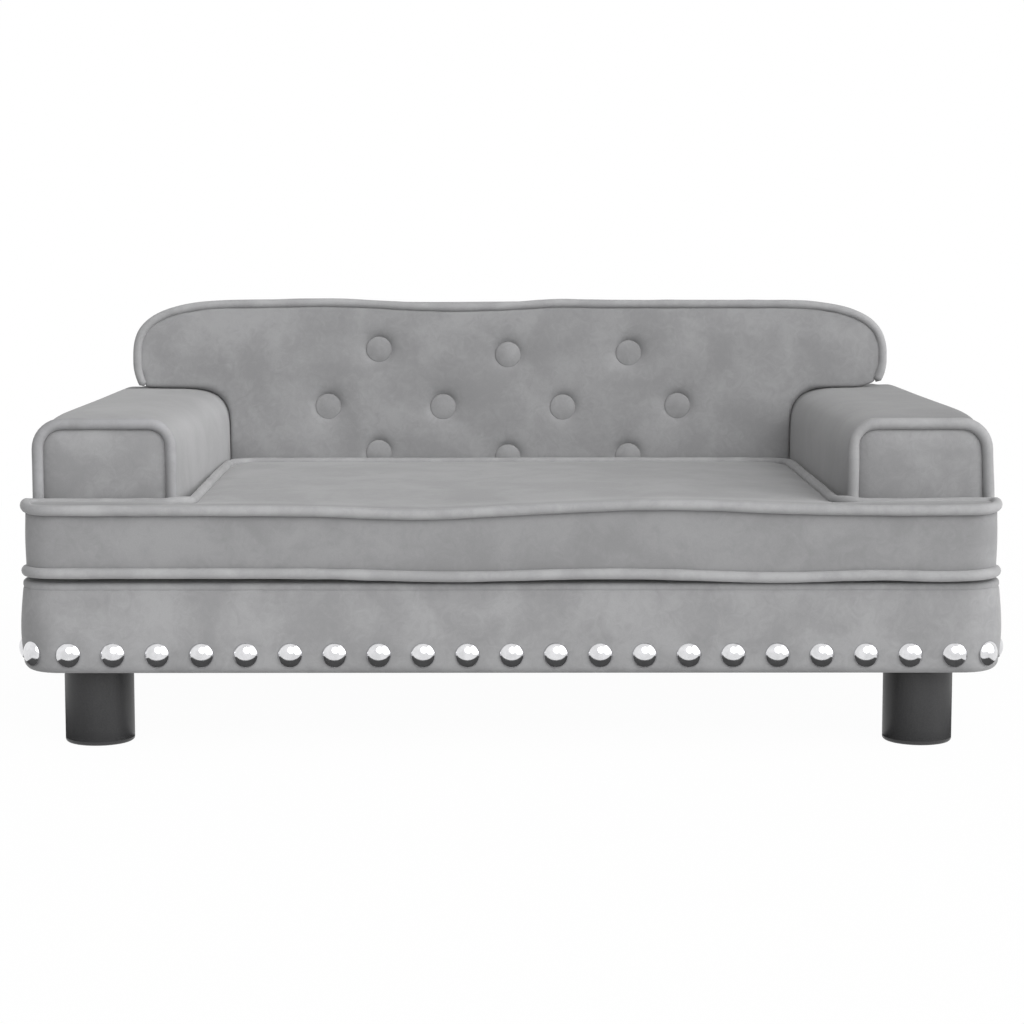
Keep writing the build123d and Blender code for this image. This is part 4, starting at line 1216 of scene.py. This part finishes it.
floor_paint, tree, output = new_finish("pale_floor")
spot = add_node(tree, "ShaderNodeVectorMath", {
    0: add_node(tree, "ShaderNodeTexCoord").outputs["Object"],
}, operation="LENGTH")
far = add_node(tree, "ShaderNodeMapRange", {
    "Value": spot.outputs["Value"], "From Min": 0.5, "From Max": 1.6, "To Min": 0.975, "To Max": 1.0,
}, interpolation_type="SMOOTHSTEP")
share = add_node(tree, "ShaderNodeMath", {
    0: backdrop_rays(tree), 1: far.outputs["Result"],
}, operation="MULTIPLY")
plain = add_node(tree, "ShaderNodeBsdfDiffuse", {"Color": linear("#EDEDED")})
glow = add_node(tree, "ShaderNodeEmission", {"Color": linear("#FFFFFF"), "Strength": 1.0})
blend = add_node(tree, "ShaderNodeMixShader", {
    "Fac": share.outputs[0], 1: plain.outputs[0], 2: glow.outputs[0],
})
tree.links.new(blend.outputs[0], output.inputs["Surface"])
floor = staged("floor", square_ring(8.0, 8.0, 0.0), [(0, 1, 2, 3)], floor_paint)
print(floor.name, "of", list(floor.dimensions)[:2], "m")

# %% [markdown]
# Chrome shows what stands round it. A photographer lays a dark strip of card on the floor round the
# sofa, so that the nail heads get a dark lower edge. The strip here is seen by reflections alone.

# %% Dark card for the chrome
card_paint, tree, output = new_finish("black_card")
card_board = add_node(tree, "ShaderNodeBsdfDiffuse", {"Color": linear("#5A5A5A")})
tree.links.new(card_board.outputs[0], output.inputs["Surface"])
card = staged(
    "dark_card", [square_ring(0.30, 0.17, 0.003), square_ring(0.427, 0.297, 0.003)],
    [(k, 4 + k, 4 + (k + 1) % 4, (k + 1) % 4) for k in range(4)], card_paint,
)
for ray in ("camera", "diffuse", "shadow", "transmission"):
    setattr(card, f"visible_{ray}", False)
print(card.name, "with", len(card.data.polygons), "strips")

# %% [markdown]
# A large soft lamp shines from the right and one from the upper front, and a pale world fills in. The
# lamps are suns with a wide angle, so both ends of the sofa get the same light.

# %% World and lamps
world = bpy.data.worlds.new("studio")
bpy.context.scene.world = world
world.use_nodes = True
tree = world.node_tree
tree.nodes.clear()
soft = add_node(tree, "ShaderNodeBackground", {"Color": linear("#FFFFFF"), "Strength": 0.45})
white = add_node(tree, "ShaderNodeBackground", {"Color": linear("#FFFFFF"), "Strength": 1.0})
sky = add_node(tree, "ShaderNodeMixShader", {
    "Fac": backdrop_rays(tree), 1: soft.outputs[0], 2: white.outputs[0],
})
output = add_node(tree, "ShaderNodeOutputWorld", {"Surface": sky.outputs[0]})


def far_lamp(name, toward, width, strength):
    """A large lamp far away, in a direction from the sofa. Its width is the angle it fills, in degrees."""
    light = bpy.data.lights.new(name, "SUN")
    light.angle = radians(width)
    light.energy = strength
    holder = bpy.data.objects.new(name, light)
    holder.rotation_euler = Vector(toward).to_track_quat("Z", "Y").to_euler()
    bpy.context.scene.collection.objects.link(holder)


far_lamp("key", (0.84, -0.4, 0.42), 62, 1.9)
far_lamp("front", (0.1, -0.82, 0.56), 45, 1.52)
bpy.context.scene.view_settings.view_transform = "Standard"
print("camera, floor, world and lamps are in place")
